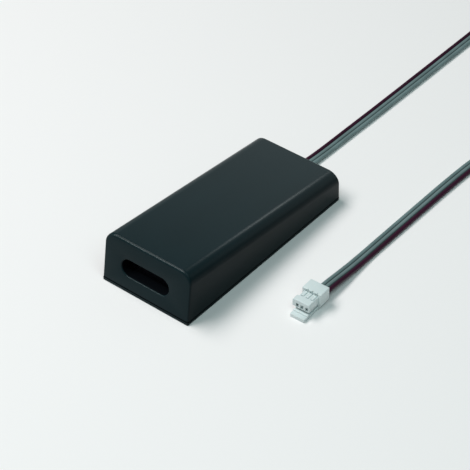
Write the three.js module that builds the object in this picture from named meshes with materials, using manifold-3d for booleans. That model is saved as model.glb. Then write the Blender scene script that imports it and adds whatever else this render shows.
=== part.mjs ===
// Surface-mounted infrared proximity sensor. A wedge-shaped cover presses onto four pins of a thin base
// plate that carries the circuit board, the emitter and receiver and the cable clamp. A flat lead of three
// bonded wires leaves at the low end, is wound into a coil and ends in a small latching plug.
// Frame: origin at the centre of the underside, -Y towards the sensing face, +Z up, millimetres.
import * as THREE from 'three';
import { mergeVertices } from 'three/addons/utils/BufferGeometryUtils.js';
import { ConvexGeometry } from 'three/addons/geometries/ConvexGeometry.js';
import Module from 'manifold-3d';

const wasm = await Module();
wasm.setup();

// ---- Housing ----
const BODY_LENGTH = 90;
const BODY_WIDTH = 40;
const FRONT_HEIGHT = 21.75;
const REAR_HEIGHT = 12.85;
const FRONT_LEAN = 2.8; // how far the sensing face has leaned back at its top
const REAR_LEAN = 0.45;
const SIDE_DRAFT = 0.25; // how far each side has leaned in at the top of the sensing face
const SHOULDER_RADIUS = 4.8; // long top edges
const EDGE_RADIUS = 1.3; // top edges of the sensing face and of the cable end
const CORNER_RADIUS = 0.6; // upright corners
const WALL = 2.0;
const ARC_SEGMENTS = 6;

// ---- Base plate ----
const RIM_THICKNESS = 1.2;
const CHANNEL_FLOOR = 0.7; // under the lead where it passes through the rim
const SHADOW_GAP = 0.4; // dark line left between the rim and the cover
const FLOOR_THICKNESS = 2.0;
const FIT_CLEARANCE = 0.3;
const PIN_RADIUS = 1.5;
const PIN_CLEARANCE = 0.1;
const PIN_ENGAGEMENT = 4.5;
const PIN_LEAD_IN = 0.5; // cone at the pin's tip
const BOSS_WALL = 1.5;
const BOSS_SEAT = 3.3; // height at which the cover's bosses seat on the plate's collars
const SEAT_GAP = 0.05;
const FRONT_PIN_INSET = 13.5;
const REAR_PIN_INSET = 7;
const PIN_SIDE_INSET = 5.6;
const FIXING_HOLE_RADIUS = 2.1;
const FIXING_HEAD_RADIUS = 3.4;
const FIXING_SIDE_INSET = 5.8;
const FIXING_SPACING = 24;
const COUNTERSINK_DEPTH = 1.2;
const ROUND_SEGMENTS = 16;

// ---- Sensing slot and window ----
const SLOT_LENGTH = 21.9;
const SLOT_HEIGHT = 7.2;
const SLOT_RISE = 10.5; // slot centre above the foot of the sensing face, along the face
const SLOT_OFFSET = -0.65;
const SLOT_CHAMFER = 0.4;
const SLEEVE_DEPTH = 5.6;
const SLEEVE_WALL = 1.2;
const WINDOW_THICKNESS = 1.2;
const WINDOW_PLUG = 1.0;
const WINDOW_GAP = 0.3;

// ---- Circuit board ----
const BOARD_WIDTH = 21;
const BOARD_LENGTH = 55.5;
const BOARD_THICKNESS = 1.6;
const BOARD_FRONT_INSET = 9.4; // from the foot of the sensing face
const BOARD_HEIGHT = 5.0; // underside above the ground
const BOARD_CORNER = 1;
const POST_RADIUS = 2.2;
const POST_INSET = 2.8;
const FRONT_POST_INSET = 16;
const REAR_POST_INSET = 6;
const SCREW_RADIUS = 1.0;
const SCREW_HEAD_RADIUS = 2.1;
const SCREW_HEAD_HEIGHT = 1.4;
const SCREW_LENGTH = 3.8;
const SCREW_TIP = 0.8;
const RECESS_WIDTH = 0.5;
const RECESS_LENGTH = 2.6;
const RECESS_DEPTH = 0.7;

// ---- Emitter and receiver ----
const LAMP_RADIUS = 2.5;
const LAMP_FLANGE_RADIUS = 2.9;
const LAMP_FLANGE = 1.0;
const LAMP_BODY = 7.6; // lens tip to flange
const LAMP_SPACING = 11;
const LAMP_AXIS_RISE = 3.3; // above the board's top
const LEAD_WIDTH = 0.5;
const LEAD_PITCH = 2.54;
const LEAD_REACH = 1.8; // flange to the bend
const LEAD_STICK_OUT = 0.8; // below the board
const LEAD_HOLE_GAP = 0.2;
const HOLDER_DEPTH = 7.4;
const HOLDER_HEIGHT = 6.9;
const HOLDER_SIDE_GAP = 0.3;

// ---- Lead ----
const WIRE_DIAMETER = 1.7;
const WIRE_COUNT = 3;
const CABLE_EXIT_HEIGHT = 1.9;
const CABLE_OFFSET = -2.0; // the lead leaves a little left of the middle
const CABLE_STEP = 12; // length of one straight piece of the lead's solid
const CABLE_CORNER = 0.35;
const CLAMP_DEPTH = 4;
const CLAMP_HEIGHT = 2.2;
const CLAMP_INSET = 6; // from the cable end to the clamp
const CLAMP_EAR = 6.2;
const CLAMP_SCREW_LENGTH = 4.3;
const COIL_CENTRE_X = 31.7;
const COIL_CENTRE_Y = 212;
const COIL_OUTER_RADIUS = 32.5;
const COIL_INNER_RADIUS = 19.2;
const COIL_BOTTOM = 0.9;
const COIL_HEIGHT = 10.5;
const COIL_CORNER = 1.2;
const COIL_SEGMENTS = 48;
const TIE_THICKNESS = 0.6;
const TIE_WIDTH = 5;
const TIE_GAP = 0.3;
const TIE_CORNER = 1.0;

// ---- Plug ----
const PLUG_X = 47.3;
const PLUG_REAR_Y = -4.1;
const PLUG_TURN = THREE.MathUtils.degToRad(2);
const PLUG_PITCH = 2.0;
const PLUG_END_WALL = 2.0; // from the outer circuits' middles to the sides
const PLUG_BLOCK_DEPTH = 5.5;
const PLUG_BLOCK_BOTTOM = 1.8;
const PLUG_BLOCK_TOP = 7.2;
const NOSE_SIDE_STEP = 0.95;
const NOSE_DEPTH = 5.8;
const NOSE_BOTTOM = 2.5;
const NOSE_TOP = 6.1;
const LATCH_THICKNESS = 1.4;
const LATCH_OVERHANG = 2.9; // beyond the nose
const LATCH_WEB = 1.7;
const LATCH_TAIL = 4.6;
const LATCH_CATCH = 0.5;
const CATCH_LENGTH = 1;
const CAVITY_WIDTH = 1.4;
const CAVITY_HEIGHT = 2.2;
const WINDOW_SLIT = 1.2;
const WINDOW_SLIT_LENGTH = 3.0;
const WINDOW_SLIT_DEPTH = 0.5;
const NOTCH_DEPTH = 0.7;
const TERMINAL_GAP = 0.3;
const TERMINAL_SETBACK = 0.8;
const TERMINAL_WALL = 0.2;

// ---- Small board parts ----
const CHIP_LEG_WIDTH = 0.4;
const CHIP_LEG_THICKNESS = 0.2;
const CHIP_LIFT = 0.15;
const CHIP_SHOULDER = 0.3; // how far a leg stands out before it drops to its pad
const END_CAP_LENGTH = 0.4;
const END_CAP_PROUD = 0.03;
const PAD_PITCH = 2.8; // solder pads of the lead's wires
const PAD_INSET = 3.4; // from the board's rear edge
const WIRE_PAD_GAP = 1.4; // from the pad's middle to the wire's end
const WIRE_PAD_RISE = 1.2; // the wire's middle above the board
const WIRE_SPREAD = 0.02; // between the wires where they leave the clamp

// ---- Derived places ----
const halfLength = BODY_LENGTH / 2;
const halfWidth = BODY_WIDTH / 2;
const faceLean = Math.atan2(FRONT_LEAN, FRONT_HEIGHT);
const coverBottom = RIM_THICKNESS + SHADOW_GAP;
const boardTop = BOARD_HEIGHT + BOARD_THICKNESS;
const boardFront = -halfLength + BOARD_FRONT_INSET;
const boardRear = boardFront + BOARD_LENGTH;
const lampAxis = boardTop + LAMP_AXIS_RISE;
const holderRear = boardFront + HOLDER_DEPTH;
const cableWidth = WIRE_DIAMETER * WIRE_COUNT;
const channelWidth = cableWidth + 4 * FIT_CLEARANCE;
const clampRear = halfLength - CLAMP_INSET;
const clampFront = clampRear - CLAMP_DEPTH;
const clampBottom = CABLE_EXIT_HEIGHT + WIRE_DIAMETER / 2 + FIT_CLEARANCE;
const bossRadius = PIN_RADIUS + PIN_CLEARANCE + BOSS_WALL;
const pinTop = BOSS_SEAT + PIN_ENGAGEMENT;
const plugHalfWidth = PLUG_PITCH + PLUG_END_WALL;

// ---- Finishes ----
function finish(color, roughness, metalness = 0) {
  return new THREE.MeshStandardMaterial({ color, roughness, metalness });
}

const satinBlack = () => finish(0x23292c, 0.42);
const mattBlack = () => finish(0x17191a, 0.75);
const filterBlack = () => finish(0x090a0f, 0.12);
const nylonWhite = () => finish(0xe4e9e6, 0.5);
const greyVinyl = () => finish(0x66797b, 0.45);
const redVinyl = () => finish(0x4a1c2c, 0.45);
const zincSteel = () => finish(0xb5b8bb, 0.35, 1);
const tinnedBrass = () => finish(0xc4c2bc, 0.3, 1);
const tinSolder = () => finish(0xc2c5c8, 0.28, 1);
const boardGreen = () => finish(0x1f5a37, 0.45);
const epoxyBlack = () => finish(0x1b1c1e, 0.6);
const clearEpoxy = () => finish(0xaab6d8, 0.08);
const darkEpoxy = () => finish(0x14121a, 0.1);
const canAluminium = () => finish(0xb9bcc0, 0.3, 1);
const ceramicTan = () => finish(0xb39a72, 0.5);
const ceramicDark = () => finish(0x26272b, 0.5);

// ---- Solids ----
function toSolid(geometry) {
  const bare = geometry.clone();
  bare.deleteAttribute('normal');
  bare.deleteAttribute('uv');
  const merged = mergeVertices(bare, 1e-4);
  return new wasm.Manifold(new wasm.Mesh({
    numProp: 3,
    vertProperties: Float32Array.from(merged.attributes.position.array),
    triVerts: Uint32Array.from(merged.index.array),
  }));
}

function toGeometry(solid) {
  const mesh = solid.getMesh();
  const geometry = new THREE.BufferGeometry();
  geometry.setAttribute('position', new THREE.BufferAttribute(mesh.vertProperties, 3));
  geometry.setIndex(new THREE.BufferAttribute(mesh.triVerts, 1));
  geometry.computeVertexNormals();
  return geometry;
}

function join(first, ...others) {
  return others.reduce((sum, solid) => sum.add(solid), first);
}

function cut(first, ...others) {
  return others.reduce((rest, solid) => rest.subtract(solid), first);
}

function boxBetween(x0, x1, y0, y1, z0, z1) {
  const geometry = new THREE.BoxGeometry(x1 - x0, y1 - y0, z1 - z0);
  geometry.translate((x0 + x1) / 2, (y0 + y1) / 2, (z0 + z1) / 2);
  return toSolid(geometry);
}

// An upright round bar.
function bar(radius, x, y, z0, z1, topRadius = radius) {
  const geometry = new THREE.CylinderGeometry(topRadius, radius, z1 - z0, ROUND_SEGMENTS);
  geometry.rotateX(Math.PI / 2);
  geometry.translate(x, y, (z0 + z1) / 2);
  return toSolid(geometry);
}

// A round bar along Y.
function barAlongY(radius, x, z, y0, y1) {
  const geometry = new THREE.CylinderGeometry(radius, radius, y1 - y0, ROUND_SEGMENTS);
  geometry.translate(x, (y0 + y1) / 2, z);
  return toSolid(geometry);
}

function extrude(shape, depth, segments = ARC_SEGMENTS) {
  return new THREE.ExtrudeGeometry(shape, { depth, bevelEnabled: false, curveSegments: segments });
}

function plate(shape, z0, z1) {
  const geometry = extrude(shape, z1 - z0);
  geometry.translate(0, 0, z0);
  return toSolid(geometry);
}

function roundedRectangle(x0, x1, y0, y1, radius) {
  const shape = new THREE.Shape();
  shape.moveTo(x0 + radius, y0);
  shape.lineTo(x1 - radius, y0);
  shape.absarc(x1 - radius, y0 + radius, radius, -Math.PI / 2, 0);
  shape.lineTo(x1, y1 - radius);
  shape.absarc(x1 - radius, y1 - radius, radius, 0, Math.PI / 2);
  shape.lineTo(x0 + radius, y1);
  shape.absarc(x0 + radius, y1 - radius, radius, Math.PI / 2, Math.PI);
  shape.lineTo(x0, y0 + radius);
  shape.absarc(x0 + radius, y0 + radius, radius, Math.PI, 1.5 * Math.PI);
  return shape;
}

function ringPoints(shape, z) {
  return shape.getPoints(ARC_SEGMENTS).map((point) => new THREE.Vector3(point.x, point.y, z));
}

// ---- The wedge ----
const topSlope = Math.atan2(
  FRONT_HEIGHT - REAR_HEIGHT,
  BODY_LENGTH - FRONT_LEAN - REAR_LEAN,
);

// Distance from the middle to the sensing face at a height, and to the cable end's face.
function frontFaceY(z) {
  return -halfLength + (FRONT_LEAN * z) / FRONT_HEIGHT;
}

function rearFaceY(z) {
  return halfLength - (REAR_LEAN * z) / REAR_HEIGHT;
}

// The outer body, or the same body with every face moved in by an inset, from z0 up.
function wedge(inset, z0) {
  const corner = Math.max(CORNER_RADIUS - inset, 0.3);
  const outline = (z, draft) => ringPoints(
    roundedRectangle(
      -halfWidth + draft + inset,
      halfWidth - draft - inset,
      frontFaceY(z) + inset / Math.cos(faceLean),
      rearFaceY(z) - inset,
      corner,
    ),
    z,
  );
  const highest = FRONT_HEIGHT + 4;
  const draftAt = (z) => (SIDE_DRAFT * z) / FRONT_HEIGHT;
  const block = toSolid(new ConvexGeometry([
    ...outline(z0, draftAt(z0)),
    ...outline(highest, draftAt(highest)),
  ]));

  // Section across the body, swept along the slope of the top.
  const shoulder = Math.max(SHOULDER_RADIUS - inset, 0.5);
  const half = halfWidth - SIDE_DRAFT - inset;
  const drop = 2 * FRONT_HEIGHT;
  const spread = (SIDE_DRAFT * drop) / FRONT_HEIGHT + 1;
  const section = new THREE.Shape();
  section.moveTo(-half - spread, -drop);
  section.lineTo(half + spread, -drop);
  section.lineTo(half, -shoulder);
  section.absarc(half - shoulder, -shoulder, shoulder, 0, Math.PI / 2);
  section.lineTo(-half + shoulder, 0);
  section.absarc(-half + shoulder, -shoulder, shoulder, Math.PI / 2, Math.PI);
  section.closePath();
  const sweep = extrude(section, 2 * BODY_LENGTH);
  sweep.translate(0, -inset, -BODY_LENGTH);
  sweep.applyMatrix4(new THREE.Matrix4().makeRotationX(Math.PI / 2 - topSlope));
  sweep.translate(0, -halfLength + FRONT_LEAN, FRONT_HEIGHT);

  // Side profile, which rounds the top edges of the two end faces.
  const profile = new THREE.Shape();
  const low = z0 - 1;
  const faceInset = inset / Math.cos(faceLean);
  const topFront = new THREE.Vector2(frontFaceY(FRONT_HEIGHT) + faceInset, FRONT_HEIGHT - inset);
  const topRear = new THREE.Vector2(halfLength - REAR_LEAN - inset, REAR_HEIGHT - inset);
  const lowFront = new THREE.Vector2(frontFaceY(low) + faceInset, low);
  const lowRear = new THREE.Vector2(rearFaceY(low) - inset, low);
  profile.moveTo(lowFront.x, lowFront.y);
  profile.lineTo(lowRear.x, lowRear.y);
  roundCorner(profile, lowRear, topRear, topFront, EDGE_RADIUS);
  roundCorner(profile, topRear, topFront, lowFront, EDGE_RADIUS);
  profile.closePath();
  const side = extrude(profile, BODY_WIDTH + 2, 4);
  side.translate(0, 0, -(BODY_WIDTH + 2) / 2);
  side.applyMatrix4(new THREE.Matrix4().makeBasis(
    new THREE.Vector3(0, 1, 0),
    new THREE.Vector3(0, 0, 1),
    new THREE.Vector3(1, 0, 0),
  ));
  return block.intersect(toSolid(sweep)).intersect(toSolid(side));
}

// Draws a line to a corner and turns it with an arc that touches both sides.
function roundCorner(shape, from, corner, to, radius) {
  const back = from.clone().sub(corner).normalize();
  const ahead = to.clone().sub(corner).normalize();
  const halfAngle = Math.acos(back.dot(ahead)) / 2;
  const bisector = back.clone().add(ahead).normalize();
  const middle = corner.clone().addScaledVector(bisector, radius / Math.sin(halfAngle));
  const reach = radius / Math.tan(halfAngle);
  const first = corner.clone().addScaledVector(back, reach);
  const last = corner.clone().addScaledVector(ahead, reach);
  const angleOf = (point) => Math.atan2(point.y - middle.y, point.x - middle.x);
  shape.lineTo(first.x, first.y);
  shape.absarc(middle.x, middle.y, radius, angleOf(first), angleOf(last), back.cross(ahead) > 0);
}

// ---- Things square to the sensing face ----
// X across, Y up the face from its foot, Z out of the face.
const faceMatrix = new THREE.Matrix4().makeBasis(
  new THREE.Vector3(1, 0, 0),
  new THREE.Vector3(0, Math.sin(faceLean), Math.cos(faceLean)),
  new THREE.Vector3(0, -Math.cos(faceLean), Math.sin(faceLean)),
).setPosition(0, -halfLength, 0);

function slotOutline(grow) {
  const radius = SLOT_HEIGHT / 2 + grow;
  const reach = (SLOT_LENGTH - SLOT_HEIGHT) / 2;
  const shape = new THREE.Shape();
  shape.moveTo(SLOT_OFFSET - reach, SLOT_RISE - radius);
  shape.lineTo(SLOT_OFFSET + reach, SLOT_RISE - radius);
  shape.absarc(SLOT_OFFSET + reach, SLOT_RISE, radius, -Math.PI / 2, Math.PI / 2);
  shape.lineTo(SLOT_OFFSET - reach, SLOT_RISE + radius);
  shape.absarc(SLOT_OFFSET - reach, SLOT_RISE, radius, Math.PI / 2, 1.5 * Math.PI);
  return shape;
}

function slotPrism(grow, deep, shallow) {
  const geometry = extrude(slotOutline(grow), deep - shallow, 2 * ARC_SEGMENTS);
  geometry.translate(0, 0, -deep);
  geometry.applyMatrix4(faceMatrix);
  return toSolid(geometry);
}

function slotFlare() {
  const ring = (grow, height) => slotOutline(grow)
    .getPoints(2 * ARC_SEGMENTS)
    .map((point) => new THREE.Vector3(point.x, point.y, height).applyMatrix4(faceMatrix));
  return toSolid(new ConvexGeometry([
    ...ring(0, -SLOT_CHAMFER),
    ...ring(2 * SLOT_CHAMFER, SLOT_CHAMFER),
  ]));
}

// ---- Housing pieces ----
const pinPlaces = [-1, 1].flatMap((side) => [
  { x: side * (halfWidth - PIN_SIDE_INSET), y: -halfLength + FRONT_PIN_INSET },
  { x: side * (halfWidth - PIN_SIDE_INSET), y: halfLength - REAR_PIN_INSET },
]);

function makeCover() {
  const outer = wedge(0, coverBottom);
  const hollow = wedge(WALL, coverBottom - 2);
  const within = wedge(WALL / 2, coverBottom - 1);
  const bosses = pinPlaces.map(({ x, y }) => {
    const column = bar(bossRadius, x, y, BOSS_SEAT, FRONT_HEIGHT);
    return column.intersect(within);
  });
  const bores = pinPlaces.map(({ x, y }) => bar(
    PIN_RADIUS + PIN_CLEARANCE,
    x,
    y,
    BOSS_SEAT - 1,
    pinTop + FIT_CLEARANCE,
  ));
  const notch = boxBetween(
    CABLE_OFFSET - channelWidth / 2,
    CABLE_OFFSET + channelWidth / 2,
    halfLength - 2 * WALL,
    halfLength + 1,
    0,
    clampBottom,
  );
  const shell = join(cut(outer, hollow), ...bosses, slotPrism(SLEEVE_WALL, SLEEVE_DEPTH, WALL / 2));
  return cut(shell, ...bores, slotPrism(0, SLEEVE_DEPTH + 1, -1), slotFlare(), notch);
}

function makeWindow() {
  const back = SLEEVE_DEPTH + WINDOW_GAP;
  const pane = slotPrism(SLEEVE_WALL, back + WINDOW_THICKNESS, back);
  const plug = slotPrism(-WINDOW_GAP, back + WINDOW_THICKNESS / 2, SLEEVE_DEPTH - WINDOW_PLUG);
  return join(pane, plug);
}

const postPlaces = [-1, 1].flatMap((side) => [
  { x: side * (BOARD_WIDTH / 2 - POST_INSET), y: boardFront + FRONT_POST_INSET, side, end: -1 },
  { x: side * (BOARD_WIDTH / 2 - POST_INSET), y: boardRear - REAR_POST_INSET, side, end: 1 },
]);
const screwedPosts = postPlaces.filter(({ side, end }) => side === end);
const clampScrewPlaces = [-1, 1].map((side) => ({
  x: CABLE_OFFSET + side * CLAMP_EAR,
  y: (clampRear + clampFront) / 2,
}));
const fixingPlaces = [-1, 1].map((side) => ({
  x: side * (halfWidth - FIXING_SIDE_INSET),
  y: (side * FIXING_SPACING) / 2,
}));

function makeBasePlate() {
  const inset = WALL + FIT_CLEARANCE;
  const rim = plate(
    roundedRectangle(-halfWidth, halfWidth, -halfLength, halfLength, CORNER_RADIUS),
    0,
    RIM_THICKNESS,
  );
  const step = plate(
    roundedRectangle(
      -halfWidth + inset,
      halfWidth - inset,
      frontFaceY(FLOOR_THICKNESS) + inset,
      halfLength - inset,
      1,
    ),
    RIM_THICKNESS / 2,
    FLOOR_THICKNESS,
  );
  const pins = pinPlaces.flatMap(({ x, y }) => [
    bar(bossRadius, x, y, RIM_THICKNESS, BOSS_SEAT - SEAT_GAP),
    bar(PIN_RADIUS, x, y, RIM_THICKNESS, pinTop - PIN_LEAD_IN),
    bar(PIN_RADIUS, x, y, pinTop - PIN_LEAD_IN, pinTop, PIN_RADIUS - PIN_LEAD_IN),
  ]);
  const posts = postPlaces.map(({ x, y }) => bar(POST_RADIUS, x, y, RIM_THICKNESS, BOARD_HEIGHT));
  const pilots = screwedPosts.map(({ x, y }) => bar(
    SCREW_RADIUS + FIT_CLEARANCE,
    x,
    y,
    boardTop - SCREW_LENGTH - FIT_CLEARANCE,
    BOARD_HEIGHT + 1,
  ));
  const clampSeats = clampScrewPlaces.map(({ x, y }) => bar(POST_RADIUS, x, y, RIM_THICKNESS, clampBottom));
  const clampPilots = clampScrewPlaces.map(({ x, y }) => bar(
    SCREW_RADIUS + FIT_CLEARANCE,
    x,
    y,
    clampBottom + CLAMP_HEIGHT - CLAMP_SCREW_LENGTH - FIT_CLEARANCE,
    clampBottom + 1,
  ));
  const channel = boxBetween(
    CABLE_OFFSET - channelWidth / 2,
    CABLE_OFFSET + channelWidth / 2,
    clampFront - 2 * CLAMP_DEPTH,
    halfLength + 1,
    CHANNEL_FLOOR,
    FLOOR_THICKNESS + 1,
  );
  const fixings = fixingPlaces.flatMap(({ x, y }) => [
    bar(FIXING_HOLE_RADIUS, x, y, -1, FLOOR_THICKNESS + 1),
    bar(FIXING_HOLE_RADIUS, x, y, FLOOR_THICKNESS - COUNTERSINK_DEPTH, FLOOR_THICKNESS, FIXING_HEAD_RADIUS),
  ]);
  const solid = join(rim, step, ...pins, ...posts, ...clampSeats);
  return cut(solid, ...pilots, ...clampPilots, channel, ...fixings);
}

// A pan-head screw standing on its head's underside at z = 0.
function makeScrew(length) {
  const points = [
    new THREE.Vector2(0, -length),
    new THREE.Vector2(SCREW_RADIUS * 0.4, -length),
    new THREE.Vector2(SCREW_RADIUS, -length + SCREW_TIP),
    new THREE.Vector2(SCREW_RADIUS, 0),
    new THREE.Vector2(SCREW_HEAD_RADIUS, 0),
    new THREE.Vector2(SCREW_HEAD_RADIUS, SCREW_HEAD_HEIGHT * 0.5),
    new THREE.Vector2(SCREW_HEAD_RADIUS * 0.8, SCREW_HEAD_HEIGHT * 0.9),
    new THREE.Vector2(SCREW_HEAD_RADIUS * 0.4, SCREW_HEAD_HEIGHT),
    new THREE.Vector2(0, SCREW_HEAD_HEIGHT),
  ];
  const turned = new THREE.LatheGeometry(points, ROUND_SEGMENTS);
  turned.rotateX(Math.PI / 2);
  const half = RECESS_LENGTH / 2;
  const thin = RECESS_WIDTH / 2;
  const floor = SCREW_HEAD_HEIGHT - RECESS_DEPTH;
  return cut(
    toSolid(turned),
    boxBetween(-half, half, -thin, thin, floor, SCREW_HEAD_HEIGHT + 1),
    boxBetween(-thin, thin, -half, half, floor, SCREW_HEAD_HEIGHT + 1),
  );
}

// ---- Board and what stands on it ----
const lampPlaces = [-1, 1].map((side) => SLOT_OFFSET + (side * LAMP_SPACING) / 2);
const lampFlangeFront = holderRear + FIT_CLEARANCE;
const leadBend = lampFlangeFront + LAMP_FLANGE + LEAD_REACH;

function makeBoard() {
  const outline = plate(
    roundedRectangle(-BOARD_WIDTH / 2, BOARD_WIDTH / 2, boardFront, boardRear, BOARD_CORNER),
    BOARD_HEIGHT,
    boardTop,
  );
  const screwHoles = screwedPosts.map(({ x, y }) => bar(
    SCREW_RADIUS + FIT_CLEARANCE,
    x,
    y,
    0,
    boardTop + 1,
  ));
  const holeReach = LEAD_WIDTH / 2 + LEAD_HOLE_GAP;
  const leadHoles = lampPlaces.flatMap((x) => [-1, 1].map((side) => boxBetween(
    x + (side * LEAD_PITCH) / 2 - holeReach,
    x + (side * LEAD_PITCH) / 2 + holeReach,
    leadBend - holeReach,
    leadBend + holeReach,
    0,
    boardTop + 1,
  )));
  return cut(outline, ...screwHoles, ...leadHoles);
}

function makeOpticHolder() {
  const block = boxBetween(
    -BOARD_WIDTH / 2 + HOLDER_SIDE_GAP,
    BOARD_WIDTH / 2 - HOLDER_SIDE_GAP,
    boardFront,
    holderRear,
    boardTop,
    boardTop + HOLDER_HEIGHT,
  );
  const bores = lampPlaces.map((x) => barAlongY(
    LAMP_RADIUS + PIN_CLEARANCE,
    x,
    lampAxis,
    boardFront - 1,
    holderRear + 1,
  ));
  return cut(block, ...bores);
}

// A round lamp lying along Y with its lens towards the window and its two legs bent into the board.
function makeLamp(x) {
  const dome = Array.from({ length: ARC_SEGMENTS }, (_, index) => {
    const angle = (index / ARC_SEGMENTS) * (Math.PI / 2);
    return new THREE.Vector2(
      LAMP_RADIUS * Math.sin(angle),
      LAMP_BODY - LAMP_RADIUS + LAMP_RADIUS * Math.cos(angle),
    );
  });
  const turned = new THREE.LatheGeometry([
    ...dome,
    new THREE.Vector2(LAMP_RADIUS, LAMP_BODY - LAMP_RADIUS),
    new THREE.Vector2(LAMP_RADIUS, 0),
    new THREE.Vector2(LAMP_FLANGE_RADIUS, 0),
    new THREE.Vector2(LAMP_FLANGE_RADIUS, -LAMP_FLANGE),
    new THREE.Vector2(0, -LAMP_FLANGE),
  ].reverse(), ROUND_SEGMENTS);
  turned.rotateX(Math.PI);
  turned.translate(x, lampFlangeFront, lampAxis);
  const thick = LEAD_WIDTH / 2;
  const legs = [-1, 1].flatMap((side) => {
    const middle = x + (side * LEAD_PITCH) / 2;
    const near = middle - thick;
    const far = middle + thick;
    const legFoot = BOARD_HEIGHT - LEAD_STICK_OUT;
    return [
      boxBetween(near, far, lampFlangeFront, leadBend + thick, lampAxis - thick, lampAxis + thick),
      boxBetween(near, far, leadBend - thick, leadBend + thick, legFoot, lampAxis),
    ];
  });
  return join(toSolid(turned), ...legs);
}

// A chip body with square-cut legs down both long sides, standing on z = 0.
function makeChip(width, length, height, legCount, legPitch, legReach) {
  const body = boxBetween(-width / 2, width / 2, -length / 2, length / 2, CHIP_LIFT, height);
  const across = CHIP_LEG_WIDTH / 2;
  const shoulder = width / 2 + CHIP_SHOULDER;
  const legs = Array.from({ length: legCount }, (_, index) => {
    const y = (index - (legCount - 1) / 2) * legPitch;
    const span = width / 2 + legReach;
    return [
      boxBetween(-span, span, y - across, y + across, 0, CHIP_LEG_THICKNESS),
      boxBetween(-shoulder, shoulder, y - across, y + across, 0, height / 2),
    ];
  }).flat();
  return join(body, ...legs);
}

// A power transistor: moulded body, cooling tab at one end, two legs at the other.
function makeTransistor(width, length, height) {
  const body = boxBetween(-width / 2, width / 2, -length / 2, length / 2, 0.1, height);
  const tab = boxBetween(-width * 0.4, width * 0.4, length / 2 - 0.5, length / 2 + 1.2, 0, 0.5);
  const legs = [-1, 1].map((side) => boxBetween(
    side * width * 0.35 - 0.35,
    side * width * 0.35 + 0.35,
    -length / 2 - 2.4,
    -length / 2 + 0.5,
    0,
    0.5,
  ));
  return join(body, tab, ...legs);
}

// A diode or other moulded block with a folded strip under each end.
function makeMouldedBlock(width, length, height) {
  const body = boxBetween(-width / 2, width / 2, -length / 2, length / 2, 0.1, height);
  const strips = [-1, 1].map((side) => boxBetween(
    -width * 0.3,
    width * 0.3,
    side > 0 ? length / 2 - 0.8 : -length / 2 - 0.3,
    side > 0 ? length / 2 + 0.3 : -length / 2 + 0.8,
    0,
    height * 0.5,
  ));
  return join(body, ...strips);
}

// An aluminium can capacitor on its moulded foot.
function makeCanCapacitor(radius, height) {
  const foot = boxBetween(-radius - 0.2, radius + 0.2, -radius - 0.2, radius + 0.2, 0, 1);
  const can = new THREE.LatheGeometry([
    new THREE.Vector2(0, 0.5),
    new THREE.Vector2(radius, 0.5),
    new THREE.Vector2(radius, 1.6),
    new THREE.Vector2(radius - 0.25, 1.9),
    new THREE.Vector2(radius, 2.2),
    new THREE.Vector2(radius, height - 0.4),
    new THREE.Vector2(radius - 0.4, height),
    new THREE.Vector2(0, height),
  ], ROUND_SEGMENTS);
  can.rotateX(Math.PI / 2);
  return join(foot, toSolid(can));
}

// A small two-terminal chip: body with a slightly prouder cap at each end.
function makeEndCapChip(length, width, height) {
  const bodyEnd = (length - END_CAP_LENGTH) / 2;
  const body = boxBetween(-bodyEnd, bodyEnd, -width / 2, width / 2, END_CAP_PROUD, height);
  const caps = [-1, 1].map((side) => boxBetween(
    side > 0 ? length / 2 - END_CAP_LENGTH : -length / 2,
    side > 0 ? length / 2 : -length / 2 + END_CAP_LENGTH,
    -width / 2 - END_CAP_PROUD,
    width / 2 + END_CAP_PROUD,
    0,
    height + END_CAP_PROUD,
  ));
  return join(body, ...caps);
}

function makeSolderJoint() {
  const points = [
    new THREE.Vector2(0, 0),
    new THREE.Vector2(1.1, 0),
    new THREE.Vector2(0.95, 0.35),
    new THREE.Vector2(0.6, 0.75),
    new THREE.Vector2(0.35, 1.3),
    new THREE.Vector2(0, 1.4),
  ];
  const cone = new THREE.LatheGeometry(points, ROUND_SEGMENTS);
  cone.rotateX(Math.PI / 2);
  return toSolid(cone);
}

// ---- Clamp and lead ----
function makeClamp() {
  const ends = CLAMP_EAR + POST_RADIUS;
  const barBody = plate(
    roundedRectangle(CABLE_OFFSET - ends, CABLE_OFFSET + ends, clampFront, clampRear, 1),
    clampBottom,
    clampBottom + CLAMP_HEIGHT,
  );
  const holes = clampScrewPlaces.map(({ x, y }) => bar(
    SCREW_RADIUS + FIT_CLEARANCE,
    x,
    y,
    0,
    clampBottom + CLAMP_HEIGHT + 1,
  ));
  return cut(barBody, ...holes);
}

function flatSection() {
  const across = cableWidth / 2;
  const up = WIRE_DIAMETER / 2;
  const cornerAcross = across - CABLE_CORNER;
  const cornerUp = up - CABLE_CORNER;
  const shape = new THREE.Shape();
  shape.moveTo(up, cornerAcross);
  shape.lineTo(cornerUp, across);
  shape.lineTo(-cornerUp, across);
  shape.lineTo(-up, cornerAcross);
  shape.lineTo(-up, -cornerAcross);
  shape.lineTo(-cornerUp, -across);
  shape.lineTo(cornerUp, -across);
  shape.lineTo(up, -cornerAcross);
  shape.closePath();
  return shape;
}

function sweepAlong(shape, curve, step) {
  const steps = Math.ceil(curve.getLength() / step);
  return new THREE.ExtrudeGeometry(shape, { steps, extrudePath: curve, bevelEnabled: false });
}

function route(points) {
  const places = points.map(([x, y, z]) => new THREE.Vector3(x, y, z));
  return new THREE.CatmullRomCurve3(places, false, 'centripetal');
}

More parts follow.
